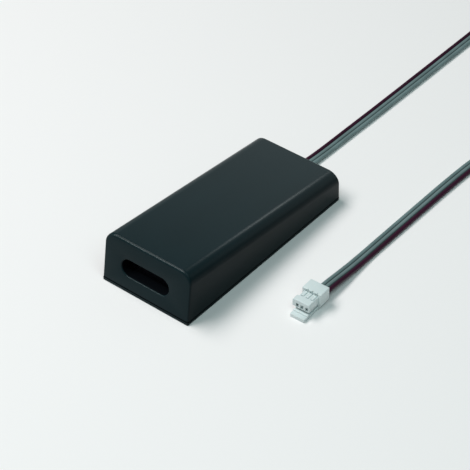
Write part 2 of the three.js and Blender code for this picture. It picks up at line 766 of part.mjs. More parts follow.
// From under the clamp, out of the housing and along the ground to the coil.
const outwardRoute = route([
  [-2.15, 34.7, 1.9],
  [-2.05, 39.0, 1.9],
  [-1.95, 45.5, 1.9],
  [-1.85, 51.0, 1.6],
  [-1.72, 57.0, 1.12],
  [-1.55, 64.0, 0.9],
  [-1.25, 80.0, 0.9],
  [-0.90, 98.0, 0.9],
  [-0.65, 118.0, 0.9],
  [-0.45, 138.0, 0.9],
  [-0.30, 156.0, 0.9],
  [-0.15, 172.0, 0.9],
  [0.00, 185.0, 0.9],
  [0.10, 196.6, 0.9],
]);

// From the plug back along the ground to the coil.
const returnRoute = route([
  [47.60, -3.7, 2.95],
  [47.66, 1.0, 2.95],
  [47.60, 8.0, 2.3],
  [47.42, 16.0, 1.45],
  [47.25, 24.0, 0.98],
  [47.25, 34.0, 0.9],
  [47.33, 46.0, 0.9],
  [47.45, 60.0, 0.9],
  [47.62, 76.0, 0.9],
  [48.10, 90.0, 0.95],
  [49.60, 106.0, 1.3],
  [52.20, 124.0, 2.3],
  [55.40, 144.0, 3.9],
  [58.60, 164.0, 5.6],
  [61.20, 182.0, 7.2],
  [62.60, 195.2, 8.1],
]);

function makeCoil() {
  const shape = roundedRectangle(
    COIL_INNER_RADIUS,
    COIL_OUTER_RADIUS,
    COIL_BOTTOM,
    COIL_BOTTOM + COIL_HEIGHT,
    COIL_CORNER,
  );
  const outline = shape.getPoints(2);
  const ring = new THREE.LatheGeometry(outline, COIL_SEGMENTS);
  ring.rotateX(Math.PI / 2);
  ring.translate(COIL_CENTRE_X, COIL_CENTRE_Y, 0);
  return ring;
}

// A strap closed round the coil's section, on its far side.
function makeTie() {
  const inner = COIL_INNER_RADIUS - TIE_GAP;
  const outer = Math.hypot(COIL_OUTER_RADIUS, TIE_WIDTH / 2) + TIE_GAP;
  const top = COIL_BOTTOM + COIL_HEIGHT + TIE_GAP;
  const bottom = COIL_BOTTOM - TIE_GAP;
  const shape = roundedRectangle(
    inner - TIE_THICKNESS,
    outer + TIE_THICKNESS,
    bottom - TIE_THICKNESS,
    top + TIE_THICKNESS,
    TIE_CORNER + TIE_THICKNESS,
  );
  shape.holes.push(roundedRectangle(inner, outer, bottom, top, TIE_CORNER));
  const strap = extrude(shape, TIE_WIDTH, 4);
  strap.translate(0, 0, -TIE_WIDTH / 2);
  strap.applyMatrix4(new THREE.Matrix4().makeBasis(
    new THREE.Vector3(0, 1, 0),
    new THREE.Vector3(0, 0, 1),
    new THREE.Vector3(1, 0, 0),
  ));
  strap.translate(COIL_CENTRE_X, COIL_CENTRE_Y, 0);
  return strap;
}

// ---- Plug, drawn with its wire entry at y = 0 and its nose towards -Y ----
const middleCircuit = (WIRE_COUNT - 1) / 2;
const circuits = Array.from({ length: WIRE_COUNT }, (_, index) => (index - middleCircuit) * PLUG_PITCH);
const noseFront = -PLUG_BLOCK_DEPTH - NOSE_DEPTH;
const noseHalfWidth = plugHalfWidth - NOSE_SIDE_STEP;
const cavityMiddle = (NOSE_BOTTOM + NOSE_TOP) / 2;

function makePlugHousing() {
  const block = boxBetween(
    -plugHalfWidth,
    plugHalfWidth,
    -PLUG_BLOCK_DEPTH,
    0,
    PLUG_BLOCK_BOTTOM,
    PLUG_BLOCK_TOP,
  );
  const nose = boxBetween(
    -noseHalfWidth,
    noseHalfWidth,
    noseFront,
    -PLUG_BLOCK_DEPTH / 2,
    NOSE_BOTTOM,
    NOSE_TOP,
  );
  const latch = boxBetween(
    -noseHalfWidth,
    noseHalfWidth,
    noseFront - LATCH_OVERHANG,
    -PLUG_BLOCK_DEPTH + LATCH_TAIL,
    0,
    LATCH_THICKNESS,
  );
  const catchBar = boxBetween(
    -noseHalfWidth,
    noseHalfWidth,
    noseFront - CATCH_LENGTH,
    noseFront,
    LATCH_THICKNESS / 2,
    LATCH_THICKNESS + LATCH_CATCH,
  );
  const web = boxBetween(
    -noseHalfWidth,
    noseHalfWidth,
    -PLUG_BLOCK_DEPTH,
    -PLUG_BLOCK_DEPTH + LATCH_WEB,
    LATCH_THICKNESS / 2,
    PLUG_BLOCK_BOTTOM + 0.5,
  );
  const cavities = circuits.map((x) => boxBetween(
    x - CAVITY_WIDTH / 2,
    x + CAVITY_WIDTH / 2,
    noseFront - 1,
    1,
    cavityMiddle - CAVITY_HEIGHT / 2,
    cavityMiddle + CAVITY_HEIGHT / 2,
  ));
  const slits = circuits.map((x) => boxBetween(
    x - WINDOW_SLIT / 2,
    x + WINDOW_SLIT / 2,
    -PLUG_BLOCK_DEPTH - WINDOW_SLIT_LENGTH,
    -PLUG_BLOCK_DEPTH,
    NOSE_TOP - WINDOW_SLIT_DEPTH,
    NOSE_TOP + 1,
  ));
  const notches = circuits.map((x) => boxBetween(
    x,
    x + WINDOW_SLIT / 2,
    -PLUG_BLOCK_DEPTH - 1,
    -PLUG_BLOCK_DEPTH + NOTCH_DEPTH,
    NOSE_TOP - WINDOW_SLIT_DEPTH,
    PLUG_BLOCK_TOP + 1,
  ));
  return cut(join(block, nose, latch, catchBar, web), ...cavities, ...slits, ...notches);
}

// A crimped contact: open box towards the nose and a rolled wire barrel behind it.
function makeTerminal(x) {
  const width = CAVITY_WIDTH - 2 * TERMINAL_GAP;
  const height = CAVITY_HEIGHT - 2 * TERMINAL_GAP;
  const front = noseFront + TERMINAL_SETBACK;
  const boxRear = front + NOSE_DEPTH - TERMINAL_SETBACK;
  const socket = boxBetween(
    x - width / 2,
    x + width / 2,
    front,
    boxRear,
    cavityMiddle - height / 2,
    cavityMiddle + height / 2,
  );
  const mouth = boxBetween(
    x - width / 2 + TERMINAL_WALL,
    x + width / 2 - TERMINAL_WALL,
    front - 1,
    boxRear - 1,
    cavityMiddle - height / 2 + TERMINAL_WALL,
    cavityMiddle + height / 2 - TERMINAL_WALL,
  );
  const barrel = barAlongY(width / 2, x, cavityMiddle, boxRear - 0.5, -TERMINAL_SETBACK);
  return cut(join(socket, barrel), mouth);
}

// ---- Assembly ----
const sensor = new THREE.Group();

function place(parent, name, shape, material, x = 0, y = 0, z = 0, turn = 0) {
  const geometry = shape.isBufferGeometry ? shape : toGeometry(shape);
  const mesh = new THREE.Mesh(geometry, material);
  mesh.name = name;
  mesh.position.set(x, y, z);
  mesh.rotation.z = turn;
  parent.add(mesh);
}

place(sensor, 'cover', makeCover(), satinBlack());
place(sensor, 'sensor_window', makeWindow(), filterBlack());
place(sensor, 'base_plate', makeBasePlate(), satinBlack());
place(sensor, 'circuit_board', makeBoard(), boardGreen());
place(sensor, 'optic_holder', makeOpticHolder(), mattBlack());
place(sensor, 'ir_emitter', makeLamp(lampPlaces[0]), clearEpoxy());
place(sensor, 'ir_receiver', makeLamp(lampPlaces[1]), darkEpoxy());
screwedPosts.forEach(({ x, y }, index) => {
  place(sensor, `board_screw_${index + 1}`, makeScrew(SCREW_LENGTH), zincSteel(), x, y, boardTop);
});

// Places on the board: across from its middle, back from its front edge.
const boardParts = new THREE.Group();
boardParts.position.set(0, boardFront, boardTop);
sensor.add(boardParts);
place(boardParts, 'microcontroller', makeChip(3.9, 4.9, 1.6, 4, 1.27, 1.05), epoxyBlack(), -4.2, 24.5);
place(boardParts, 'output_transistor', makeTransistor(6.5, 6.1, 2.3), epoxyBlack(), 4.6, 33.5);
place(boardParts, 'voltage_regulator', makeChip(2.5, 4.5, 1.5, 3, 1.5, 0.8), epoxyBlack(), -6.2, 33.5);
place(boardParts, 'protection_diode', makeMouldedBlock(2.6, 4.3, 2.1), epoxyBlack(), 8.2, 43);
place(boardParts, 'bulk_capacitor', makeCanCapacitor(3.15, 5.4), canAluminium(), 4.5, 24.2);

function placeEndCapChips(name, height, material, places) {
  places.forEach(([x, y], index) => {
    const shape = makeEndCapChip(2, 1.25, height);
    place(boardParts, `${name}_${index + 1}`, shape, material(), x, y, 0, Math.PI / 2);
  });
}

placeEndCapChips('ceramic_capacitor', 0.9, ceramicTan, [[-0.4, 20.5], [-8.6, 28.5], [-1.2, 30]]);
placeEndCapChips('resistor', 0.55, ceramicDark, [[-8.6, 21.2], [-5.4, 18.6], [-1.2, 34.5], [-1.2, 38]]);

// One wire from the clamp up to its pad, numbered from the left.
function makeInnerWire(startX, padX, padY) {
  const climb = boardTop + WIRE_PAD_RISE - CABLE_EXIT_HEIGHT;
  const curve = route([
    [startX, clampFront - 0.5, CABLE_EXIT_HEIGHT],
    [startX + (padX - startX) * 0.1, clampFront - 3, CABLE_EXIT_HEIGHT + 0.4],
    [(startX + padX) / 2, (clampFront + boardRear) / 2, CABLE_EXIT_HEIGHT + climb / 2],
    [padX, boardRear + 1.6, boardTop + WIRE_PAD_RISE - 0.1],
    [padX, padY + WIRE_PAD_GAP, boardTop + WIRE_PAD_RISE],
  ]);
  const round = new THREE.Shape();
  round.absarc(0, 0, WIRE_DIAMETER / 2, 0, 2 * Math.PI);
  return new THREE.ExtrudeGeometry(round, {
    steps: 10,
    extrudePath: curve,
    bevelEnabled: false,
    curveSegments: 8,
  });
}

const wires = [
  { name: 'red', finishOf: redVinyl },
  { name: 'grey_inner', finishOf: greyVinyl },
  { name: 'grey_outer', finishOf: greyVinyl },
];
wires.forEach(({ name, finishOf }, index) => {
  const order = index - middleCircuit;
  const startX = outwardRoute.points[0].x + order * (WIRE_DIAMETER + WIRE_SPREAD);
  const padX = CABLE_OFFSET + order * PAD_PITCH;
  const padY = boardRear - PAD_INSET;
  place(sensor, `solder_joint_${name}`, makeSolderJoint(), tinSolder(), padX, padY, boardTop);
  place(sensor, `inner_wire_${name}`, makeInnerWire(startX, padX, padY), finishOf());
});

place(sensor, 'cable_clamp', makeClamp(), mattBlack());
clampScrewPlaces.forEach(({ x, y }, index) => {
  const height = clampBottom + CLAMP_HEIGHT;
  place(sensor, `clamp_screw_${index + 1}`, makeScrew(CLAMP_SCREW_LENGTH), zincSteel(), x, y, height);
});

place(sensor, 'cable_outward', sweepAlong(flatSection(), outwardRoute, CABLE_STEP), greyVinyl());
place(sensor, 'cable_return', sweepAlong(flatSection(), returnRoute, CABLE_STEP), greyVinyl());
place(sensor, 'cable_coil', makeCoil(), greyVinyl());
place(sensor, 'coil_tie', makeTie(), mattBlack());

const plug = new THREE.Group();
plug.position.set(PLUG_X, PLUG_REAR_Y, 0);
plug.rotation.z = PLUG_TURN;
sensor.add(plug);
place(plug, 'plug_housing', makePlugHousing(), nylonWhite());
circuits.forEach((x, index) => {
  place(plug, `crimp_terminal_${index + 1}`, makeTerminal(x), tinnedBrass());
});

export default sensor;
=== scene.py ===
"""Surface-mounted infrared proximity sensor with a flat lead and a small latching plug.

The housing, the lead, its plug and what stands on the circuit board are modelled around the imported
part, in the part's own frame: +X across the housing, +Y from the sensing face to the cable end, +Z up.
Meshes are shaped in millimetres and handed over in metres.
"""

import logging
import math
from collections.abc import Callable, Mapping, Sequence
from dataclasses import dataclass, field
from enum import Enum

import bmesh
import bpy
from mathutils import Matrix, Quaternion, Vector


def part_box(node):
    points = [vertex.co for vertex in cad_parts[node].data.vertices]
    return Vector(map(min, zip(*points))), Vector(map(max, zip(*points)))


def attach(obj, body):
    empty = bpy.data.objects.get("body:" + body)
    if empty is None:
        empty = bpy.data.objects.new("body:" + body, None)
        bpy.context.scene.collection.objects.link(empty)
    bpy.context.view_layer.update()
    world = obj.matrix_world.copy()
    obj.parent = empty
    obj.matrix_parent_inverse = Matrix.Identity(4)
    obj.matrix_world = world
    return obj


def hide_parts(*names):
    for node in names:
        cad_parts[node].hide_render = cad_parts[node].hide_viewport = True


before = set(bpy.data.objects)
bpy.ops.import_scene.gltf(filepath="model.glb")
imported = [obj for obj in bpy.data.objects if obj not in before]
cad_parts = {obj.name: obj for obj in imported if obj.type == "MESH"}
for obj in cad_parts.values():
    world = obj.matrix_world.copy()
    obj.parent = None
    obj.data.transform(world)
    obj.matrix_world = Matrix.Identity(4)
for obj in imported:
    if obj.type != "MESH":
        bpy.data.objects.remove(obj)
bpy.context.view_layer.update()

MM = 0.001
LOG = logging.getLogger("proximity_sensor")
Colour = tuple[float, float, float]
Point = tuple[float, float, float]


# ---------------------------------------------------------------- shader maths


class Term:
    """A socket in a material's graph, which arithmetic extends with Math nodes."""

    def __init__(self, graph: "Graph", socket: bpy.types.NodeSocket) -> None:
        """Wraps an output socket of a graph."""
        self.graph = graph
        self.socket = socket

    def math(self, operation: str, *others: "Term | float", first: "Term | float | None" = None) -> "Term":
        """Adds one Math node.

        Args:
            operation: The Math node's operation.
            others: Its further operands.
            first: What stands before this term, for the reflected operators.

        Returns:
            The result.
        """
        operands = [self, *others] if first is None else [first, self, *others]
        node = self.graph.node("ShaderNodeMath", {"operation": operation}, dict(enumerate(operands)))
        return Term(self.graph, node.outputs[0])

    def __add__(self, other: "Term | float") -> "Term":
        """This plus other."""
        return self.math("ADD", other)

    __radd__ = __add__

    def __mul__(self, other: "Term | float") -> "Term":
        """This times other."""
        return self.math("MULTIPLY", other)

    __rmul__ = __mul__

    def __sub__(self, other: "Term | float") -> "Term":
        """This minus other."""
        return self.math("SUBTRACT", other)

    def __rsub__(self, other: float) -> "Term":
        """Other minus this."""
        return self.math("SUBTRACT", first=other)

    def __abs__(self) -> "Term":
        """The size of this without its sign."""
        return self.math("ABSOLUTE")

    def sine(self) -> "Term":
        """The sine of this."""
        return self.math("SINE")

    def least(self, other: "Term | float") -> "Term":
        """The smaller of this and other."""
        return self.math("MINIMUM", other)

    def most(self, other: "Term | float") -> "Term":
        """The larger of this and other."""
        return self.math("MAXIMUM", other)

    def ramp(self, low: float, high: float) -> "Term":
        """Goes smoothly from 0 at low to 1 at high.

        Args:
            low: The value that gives 0.
            high: The value that gives 1.

        Returns:
            The mask.
        """
        node = self.graph.node(
            "ShaderNodeMapRange",
            {"interpolation_type": "SMOOTHSTEP"},
            {"Value": self, "From Min": low, "From Max": high},
        )
        return Term(self.graph, node.outputs[0])


class Graph:
    """The node graph of one material, ending in a Principled shader."""

    def __init__(self, name: str) -> None:
        """Starts an empty material with its shader and output.

        Args:
            name: The material's name.
        """
        self.material = bpy.data.materials.new(name)
        self.material.use_nodes = True
        self.nodes = self.material.node_tree.nodes
        self.nodes.clear()
        self.shader = self.nodes.new("ShaderNodeBsdfPrincipled")
        output = self.nodes.new("ShaderNodeOutputMaterial")
        self.material.node_tree.links.new(self.shader.outputs[0], output.inputs["Surface"])
        self.place = Term(self, self.nodes.new("ShaderNodeTexCoord").outputs["Object"])

    def node(
        self,
        kind: str,
        settings: Mapping[str, object] | None = None,
        inputs: Mapping[str | int, object] | None = None,
    ) -> bpy.types.Node:
        """Adds a node.

        Args:
            kind: The node's type.
            settings: Its properties, which are set first.
            inputs: Values or terms for its input sockets, by name or number.

        Returns:
            The new node.
        """
        node = self.nodes.new(kind)
        for key, value in (settings or {}).items():
            setattr(node, key, value)
        for key, value in (inputs or {}).items():
            self.feed(node.inputs[key], value)
        return node

    def feed(self, socket: bpy.types.NodeSocket, value: object) -> None:
        """Links a term to a socket, or sets the socket's own value."""
        if isinstance(value, Term):
            self.material.node_tree.links.new(value.socket, socket)
        else:
            socket.default_value = value

    def noise(self, size: float, detail: float = 2.0, stretch: Point = (1.0, 1.0, 1.0)) -> Term:
        """A noise pattern over the object.

        Args:
            size: The width of one blotch in metres.
            detail: How many finer layers it has.
            stretch: How many times longer a blotch is along each axis.

        Returns:
            The pattern's value, from 0 to 1.
        """
        scale = [1 / (size * part) for part in stretch]
        mapping = self.node("ShaderNodeMapping", None, {"Vector": self.place, "Scale": scale})
        vector = Term(self, mapping.outputs[0])
        inputs = {"Vector": vector, "Scale": 1.0, "Detail": detail}
        return Term(self, self.node("ShaderNodeTexNoise", None, inputs).outputs[0])

    def part(self, axis: str) -> Term:
        """One coordinate of the object's own place, in metres."""
        return Term(self, self.node("ShaderNodeSeparateXYZ", None, {0: self.place}).outputs[axis])

    def attribute(self, name: str) -> Term:
        """A number that the mesh carries at each point."""
        return Term(self, self.node("ShaderNodeAttribute", {"attribute_name": name}).outputs["Fac"])

    def mix(self, share: Term, first: "Term | Colour", second: "Term | Colour") -> Term:
        """Blends two colours.

        Args:
            share: How much of the second there is.
            first: The colour at share 0.
            second: The colour at share 1.

        Returns:
            The blended colour.
        """
        node = self.nodes.new("ShaderNodeMix")
        node.data_type = "RGBA"
        self.feed(node.inputs["Factor"], share)
        for socket, value in ((node.inputs[6], first), (node.inputs[7], second)):
            self.feed(socket, value if isinstance(value, Term) else (*value, 1.0))
        return Term(self, node.outputs[2])

    def bump(self, height: Term, depth: float) -> Term:
        """Turns a height pattern into a normal.

        Args:
            height: The pattern, from 0 to 1.
            depth: Its depth in metres.

        Returns:
            The normal.
        """
        node = self.node("ShaderNodeBump", None, {"Strength": 1.0, "Distance": depth, "Height": height})
        return Term(self, node.outputs[0])

    def shade(self, **inputs: object) -> bpy.types.Material:
        """Sets the shader's sockets and gives the material.

        Args:
            inputs: Values or terms by socket name, with _ for a space.

        Returns:
            The finished material.
        """
        for key, value in inputs.items():
            socket = self.shader.inputs[key.replace("_", " ")]
            plain = socket.type == "RGBA" and not isinstance(value, Term)
            self.feed(socket, (*value, 1.0) if plain else value)
        return self.material


def tinted(colour: Colour, share: float) -> Colour:
    """A colour made lighter or darker by a share of itself."""
    return tuple(min(1.0, part * share) for part in colour)


# -------------------------------------------------------------------- finishes


class Grain(Enum):
    """Textures of a mould's wall: width of one grain and its depth, in metres."""

    POLISHED = (0.40 * MM, 0.0004 * MM)
    SATIN = (0.16 * MM, 0.0022 * MM)
    SPARKED = (0.22 * MM, 0.0060 * MM)


@dataclass(frozen=True)
class MouldedPlastic:
    """Injection-moulded plastic with a mould grain, faint flow marks and rubbed patches."""

    name: str
    colour: Colour
    roughness: float
    specular: float
    grain: Grain
    rub: float = 0.08
    translucence: float = 0.0

    def material(self) -> bpy.types.Material:
        """Makes the material."""
        graph = Graph(self.name)
        width, depth = self.grain.value
        flow = graph.noise(22 * MM, 3.0, (1.0, 2.5, 1.0))
        rubbed = graph.noise(5 * MM, 4.0).ramp(0.48, 0.72)
        speck = graph.noise(0.35 * MM, 1.0).ramp(0.66, 0.74)
        body = graph.mix(flow.ramp(0.3, 0.7), tinted(self.colour, 0.93), tinted(self.colour, 1.07))
        colour = graph.mix(speck * 0.25, body, tinted(self.colour, 1.6))
        height = graph.noise(width, 2.0) + graph.noise(4 * width, 2.0) * 0.5
        return graph.shade(
            Base_Color=colour,
            Roughness=self.roughness + rubbed * -self.rub + flow * 0.04,
            Normal=graph.bump(height, depth),
            Specular_IOR_Level=self.specular,
            Subsurface_Weight=self.translucence,
            Subsurface_Radius=(1.2 * MM, 1.1 * MM, 1.0 * MM),
        )


@dataclass(frozen=True)
class LeadVinyl:
    """Extruded vinyl of three bonded wires, the first of them in its own colour.

    The mesh carries "across", which is the place across the lead in wire widths from its middle, and
    "along", the place along it in metres.
    """

    name: str
    marked: Colour
    plain: Colour
    # Share by which the painted shade in the grooves falls short of the full dark colour.
    groove: float = 0.30

    def material(self) -> bpy.types.Material:
        """Makes the material."""
        graph = Graph(self.name)
        across = graph.attribute("across")
        along = graph.attribute("along")
        marked = 1 - across.ramp(-0.53, -0.47)
        # Painted shade: the colour darkens towards the necks between the wires, where shade falls in the
        # grooves; the same mask also roughens them.
        painted_groove_shade = 1 - abs(abs(across) - 0.5).ramp(0.03, 0.17)
        place = graph.node("ShaderNodeCombineXYZ", None, {"X": across * 9.0, "Y": along * 90.0, "Z": 0.0})
        drawn = graph.node(
            "ShaderNodeTexNoise", None, {"Vector": Term(graph, place.outputs[0]), "Scale": 1.0}
        )
        streak = Term(graph, drawn.outputs[0])
        blotch = graph.noise(9 * MM, 3.0)
        plain = graph.mix(blotch.ramp(0.35, 0.65), tinted(self.plain, 0.92), tinted(self.plain, 1.08))
        red = graph.mix(blotch.ramp(0.35, 0.65), tinted(self.marked, 0.90), tinted(self.marked, 1.12))
        # The painted groove shade mixes in a near-black colour.
        colour = graph.mix(painted_groove_shade * (1 - self.groove), graph.mix(marked, plain, red), (0.012, 0.017, 0.018))
        return graph.shade(
            Base_Color=colour,
            Roughness=0.36 + streak * 0.12 + painted_groove_shade * 0.2,
            Normal=graph.bump(streak * 0.7 + graph.noise(0.3 * MM) * 0.3, 0.010 * MM),
            Specular_IOR_Level=0.30,
        )


@dataclass(frozen=True)
class WireVinyl:
    """Vinyl of one single wire."""

    name: str
    colour: Colour

    def material(self) -> bpy.types.Material:
        """Makes the material."""
        graph = Graph(self.name)
        blotch = graph.noise(1.5 * MM, 3.0)
        streak = graph.noise(0.22 * MM, 2.0, (1.0, 9.0, 1.0))
        colour = graph.mix(blotch.ramp(0.3, 0.7), tinted(self.colour, 0.9), tinted(self.colour, 1.1))
        return graph.shade(
            Base_Color=colour,
            Roughness=0.34 + streak * 0.14,
            Normal=graph.bump(streak, 0.008 * MM),
            Specular_IOR_Level=0.45,
        )


@dataclass(frozen=True)
class Metal:
    """Plated or tinned metal with fine tool marks and dull patches."""

    name: str
    colour: Colour
    roughness: float
    marks: Point = (1.0, 6.0, 1.0)

    def material(self) -> bpy.types.Material:
        """Makes the material."""
        graph = Graph(self.name)
        marks = graph.noise(0.12 * MM, 3.0, self.marks)
        dull = graph.noise(1.1 * MM, 4.0).ramp(0.45, 0.7)
        colour = graph.mix(dull, self.colour, tinted(self.colour, 0.78))
        return graph.shade(
            Base_Color=colour,
            Metallic=1.0,
            Roughness=self.roughness + dull * 0.18 + marks * 0.06,
            Normal=graph.bump(marks, 0.004 * MM),
        )


@dataclass(frozen=True)
class CastEpoxy:
    """Clear or dyed epoxy of a lamp or a filter window."""

    name: str
    colour: Colour
    clearness: float
    roughness: float = 0.06
    specular: float = 0.5

    def material(self) -> bpy.types.Material:
        """Makes the material."""
        graph = Graph(self.name)
        haze = graph.noise(1.3 * MM, 3.0).ramp(0.4, 0.75)
        colour = graph.mix(haze * 0.5, self.colour, tinted(self.colour, 1.35))
        return graph.shade(
            Base_Color=colour,
            Roughness=self.roughness + haze * 0.08,
            Normal=graph.bump(graph.noise(0.6 * MM), 0.002 * MM),
            Transmission_Weight=self.clearness,
            Specular_IOR_Level=self.specular,
            IOR=1.54,
        )


@dataclass(frozen=True)
class SolderMask:
    """A coated board: glass weave under the mask, with tracks that show as raised, lighter lines."""

    name: str
    colour: Colour
    track_pitch: float = 1.27 * MM

    def material(self) -> bpy.types.Material:
        """Makes the material."""
        graph = Graph(self.name)
        turn = 2 * math.pi / self.track_pitch
        bend = graph.noise(7 * MM, 0.0).ramp(0.47, 0.53)
        lines = ((graph.part("X") + graph.part("Y") * bend) * turn).sine().ramp(0.55, 0.75)
        field_of_tracks = graph.noise(5 * MM, 0.0).ramp(0.46, 0.5)
        tracks = lines * field_of_tracks
        weave = (graph.part("X") * 9000.0).sine() * (graph.part("Y") * 9000.0).sine()
        rim = graph.mix(weave.ramp(-1.0, 1.0) * 0.25, self.colour, tinted(self.colour, 0.7))
        colour = graph.mix(tracks, rim, tinted(self.colour, 1.9))
        return graph.shade(
            Base_Color=colour,
            Roughness=0.3 + weave * 0.03,
            Normal=graph.bump(tracks + weave * 0.06, 0.03 * MM),
            Coat_Weight=0.3,
        )


@dataclass(frozen=True)
class Webbing:
    """Tightly woven strap."""

    name: str
    colour: Colour
    yarn: float = 0.34 * MM

    def material(self) -> bpy.types.Material:
        """Makes the material."""
        graph = Graph(self.name)
        turn = 2 * math.pi / self.yarn
        over = (graph.part("X") * turn).sine()
        along = ((graph.part("Y") + graph.part("Z")) * turn).sine()
        weave = (over * along).ramp(-0.8, 0.8)
        fuzz = graph.noise(0.12 * MM, 4.0)
        colour = graph.mix(weave, tinted(self.colour, 0.55), tinted(self.colour, 1.3))
        return graph.shade(
            Base_Color=colour,
            Roughness=0.78 + fuzz * 0.15,
            Normal=graph.bump(weave * 0.8 + fuzz * 0.4, 0.05 * MM),
            Specular_IOR_Level=0.3,
        )


@dataclass(frozen=True)
class StudioPaper:
    """Matt pale paper under the object."""

    name: str
    colour: Colour

    def material(self) -> bpy.types.Material:
        """Makes the material."""
        graph = Graph(self.name)
        fibre = graph.noise(0.6 * MM, 3.0)
        colour = graph.mix(fibre.ramp(0.3, 0.7), tinted(self.colour, 0.998), tinted(self.colour, 1.002))
        return graph.shade(Base_Color=colour, Roughness=0.9, Specular_IOR_Level=0.0)


class Finishes:
    """Every finish of the object, each made once."""

    def __init__(self) -> None:
        """Makes the materials."""
        self.housing = MouldedPlastic(
            "housing_satin_black", (0.0028, 0.0075, 0.0090), 0.27, 0.07, Grain.SATIN, 0.01
        ).material()
        self.plate = MouldedPlastic(
            "plate_satin_black", (0.0030, 0.0080, 0.0095), 0.40, 0.07, Grain.SPARKED
        ).material()
        self.clamp = MouldedPlastic(
            "clamp_black", (0.013, 0.014, 0.015), 0.55, 0.35, Grain.SPARKED
        ).material()
        self.holder = MouldedPlastic(
            "holder_black", (0.006, 0.006, 0.007), 0.70, 0.25, Grain.SPARKED
        ).material()
        # Near-black finish that paints shade: the cover's faces inside the slot and the top of the plate's
        # rim take it, darker than their own plastic.
        self.sleeve = MouldedPlastic(
            "painted_shade_black", (0.0009, 0.0012, 0.0018), 0.60, 0.03, Grain.SPARKED
        ).material()
        self.chip = MouldedPlastic("chip_epoxy", (0.020, 0.020, 0.022), 0.55, 0.35, Grain.SPARKED).material()
        self.nylon = MouldedPlastic(
            "plug_nylon", (0.680, 0.745, 0.745), 0.40, 0.45, Grain.POLISHED, 0.06, 0.12
        ).material()
        self.ceramic = MouldedPlastic("ceramic_tan", (0.42, 0.30, 0.17), 0.45, 0.4, Grain.SATIN).material()
        self.glaze = MouldedPlastic(
            "resistor_glaze", (0.018, 0.018, 0.022), 0.3, 0.5, Grain.POLISHED
        ).material()
        self.window = CastEpoxy("window_filter", (0.002, 0.002, 0.004), 0.0, 0.2, 0.15).material()
        self.emitter = CastEpoxy("emitter_epoxy", (0.62, 0.70, 0.92), 0.85).material()
        self.receiver = CastEpoxy("receiver_epoxy", (0.018, 0.012, 0.024), 0.0).material()
        self.board = SolderMask("board_mask", (0.012, 0.085, 0.035)).material()
        self.zinc = Metal("screw_zinc", (0.62, 0.64, 0.67), 0.28).material()
        self.tin = Metal("terminal_tin", (0.66, 0.64, 0.60), 0.24).material()
        self.solder = Metal("solder_bright", (0.66, 0.67, 0.70), 0.2, (1.0, 1.0, 1.0)).material()
        self.can = Metal("can_aluminium", (0.72, 0.73, 0.75), 0.26, (1.0, 1.0, 8.0)).material()
        self.lead = LeadVinyl("lead_vinyl", (0.036, 0.005, 0.020), (0.160, 0.220, 0.222)).material()
        self.red_wire = WireVinyl("wire_vinyl_red", (0.075, 0.012, 0.026)).material()
        self.grey_wire = WireVinyl("wire_vinyl_grey", (0.150, 0.205, 0.205)).material()
        self.tie = Webbing("tie_webbing", (0.020, 0.021, 0.022)).material()
        self.floor = StudioPaper("floor_paper", (0.950, 0.905, 0.900)).material()


# ------------------------------------------------------------------- modelling


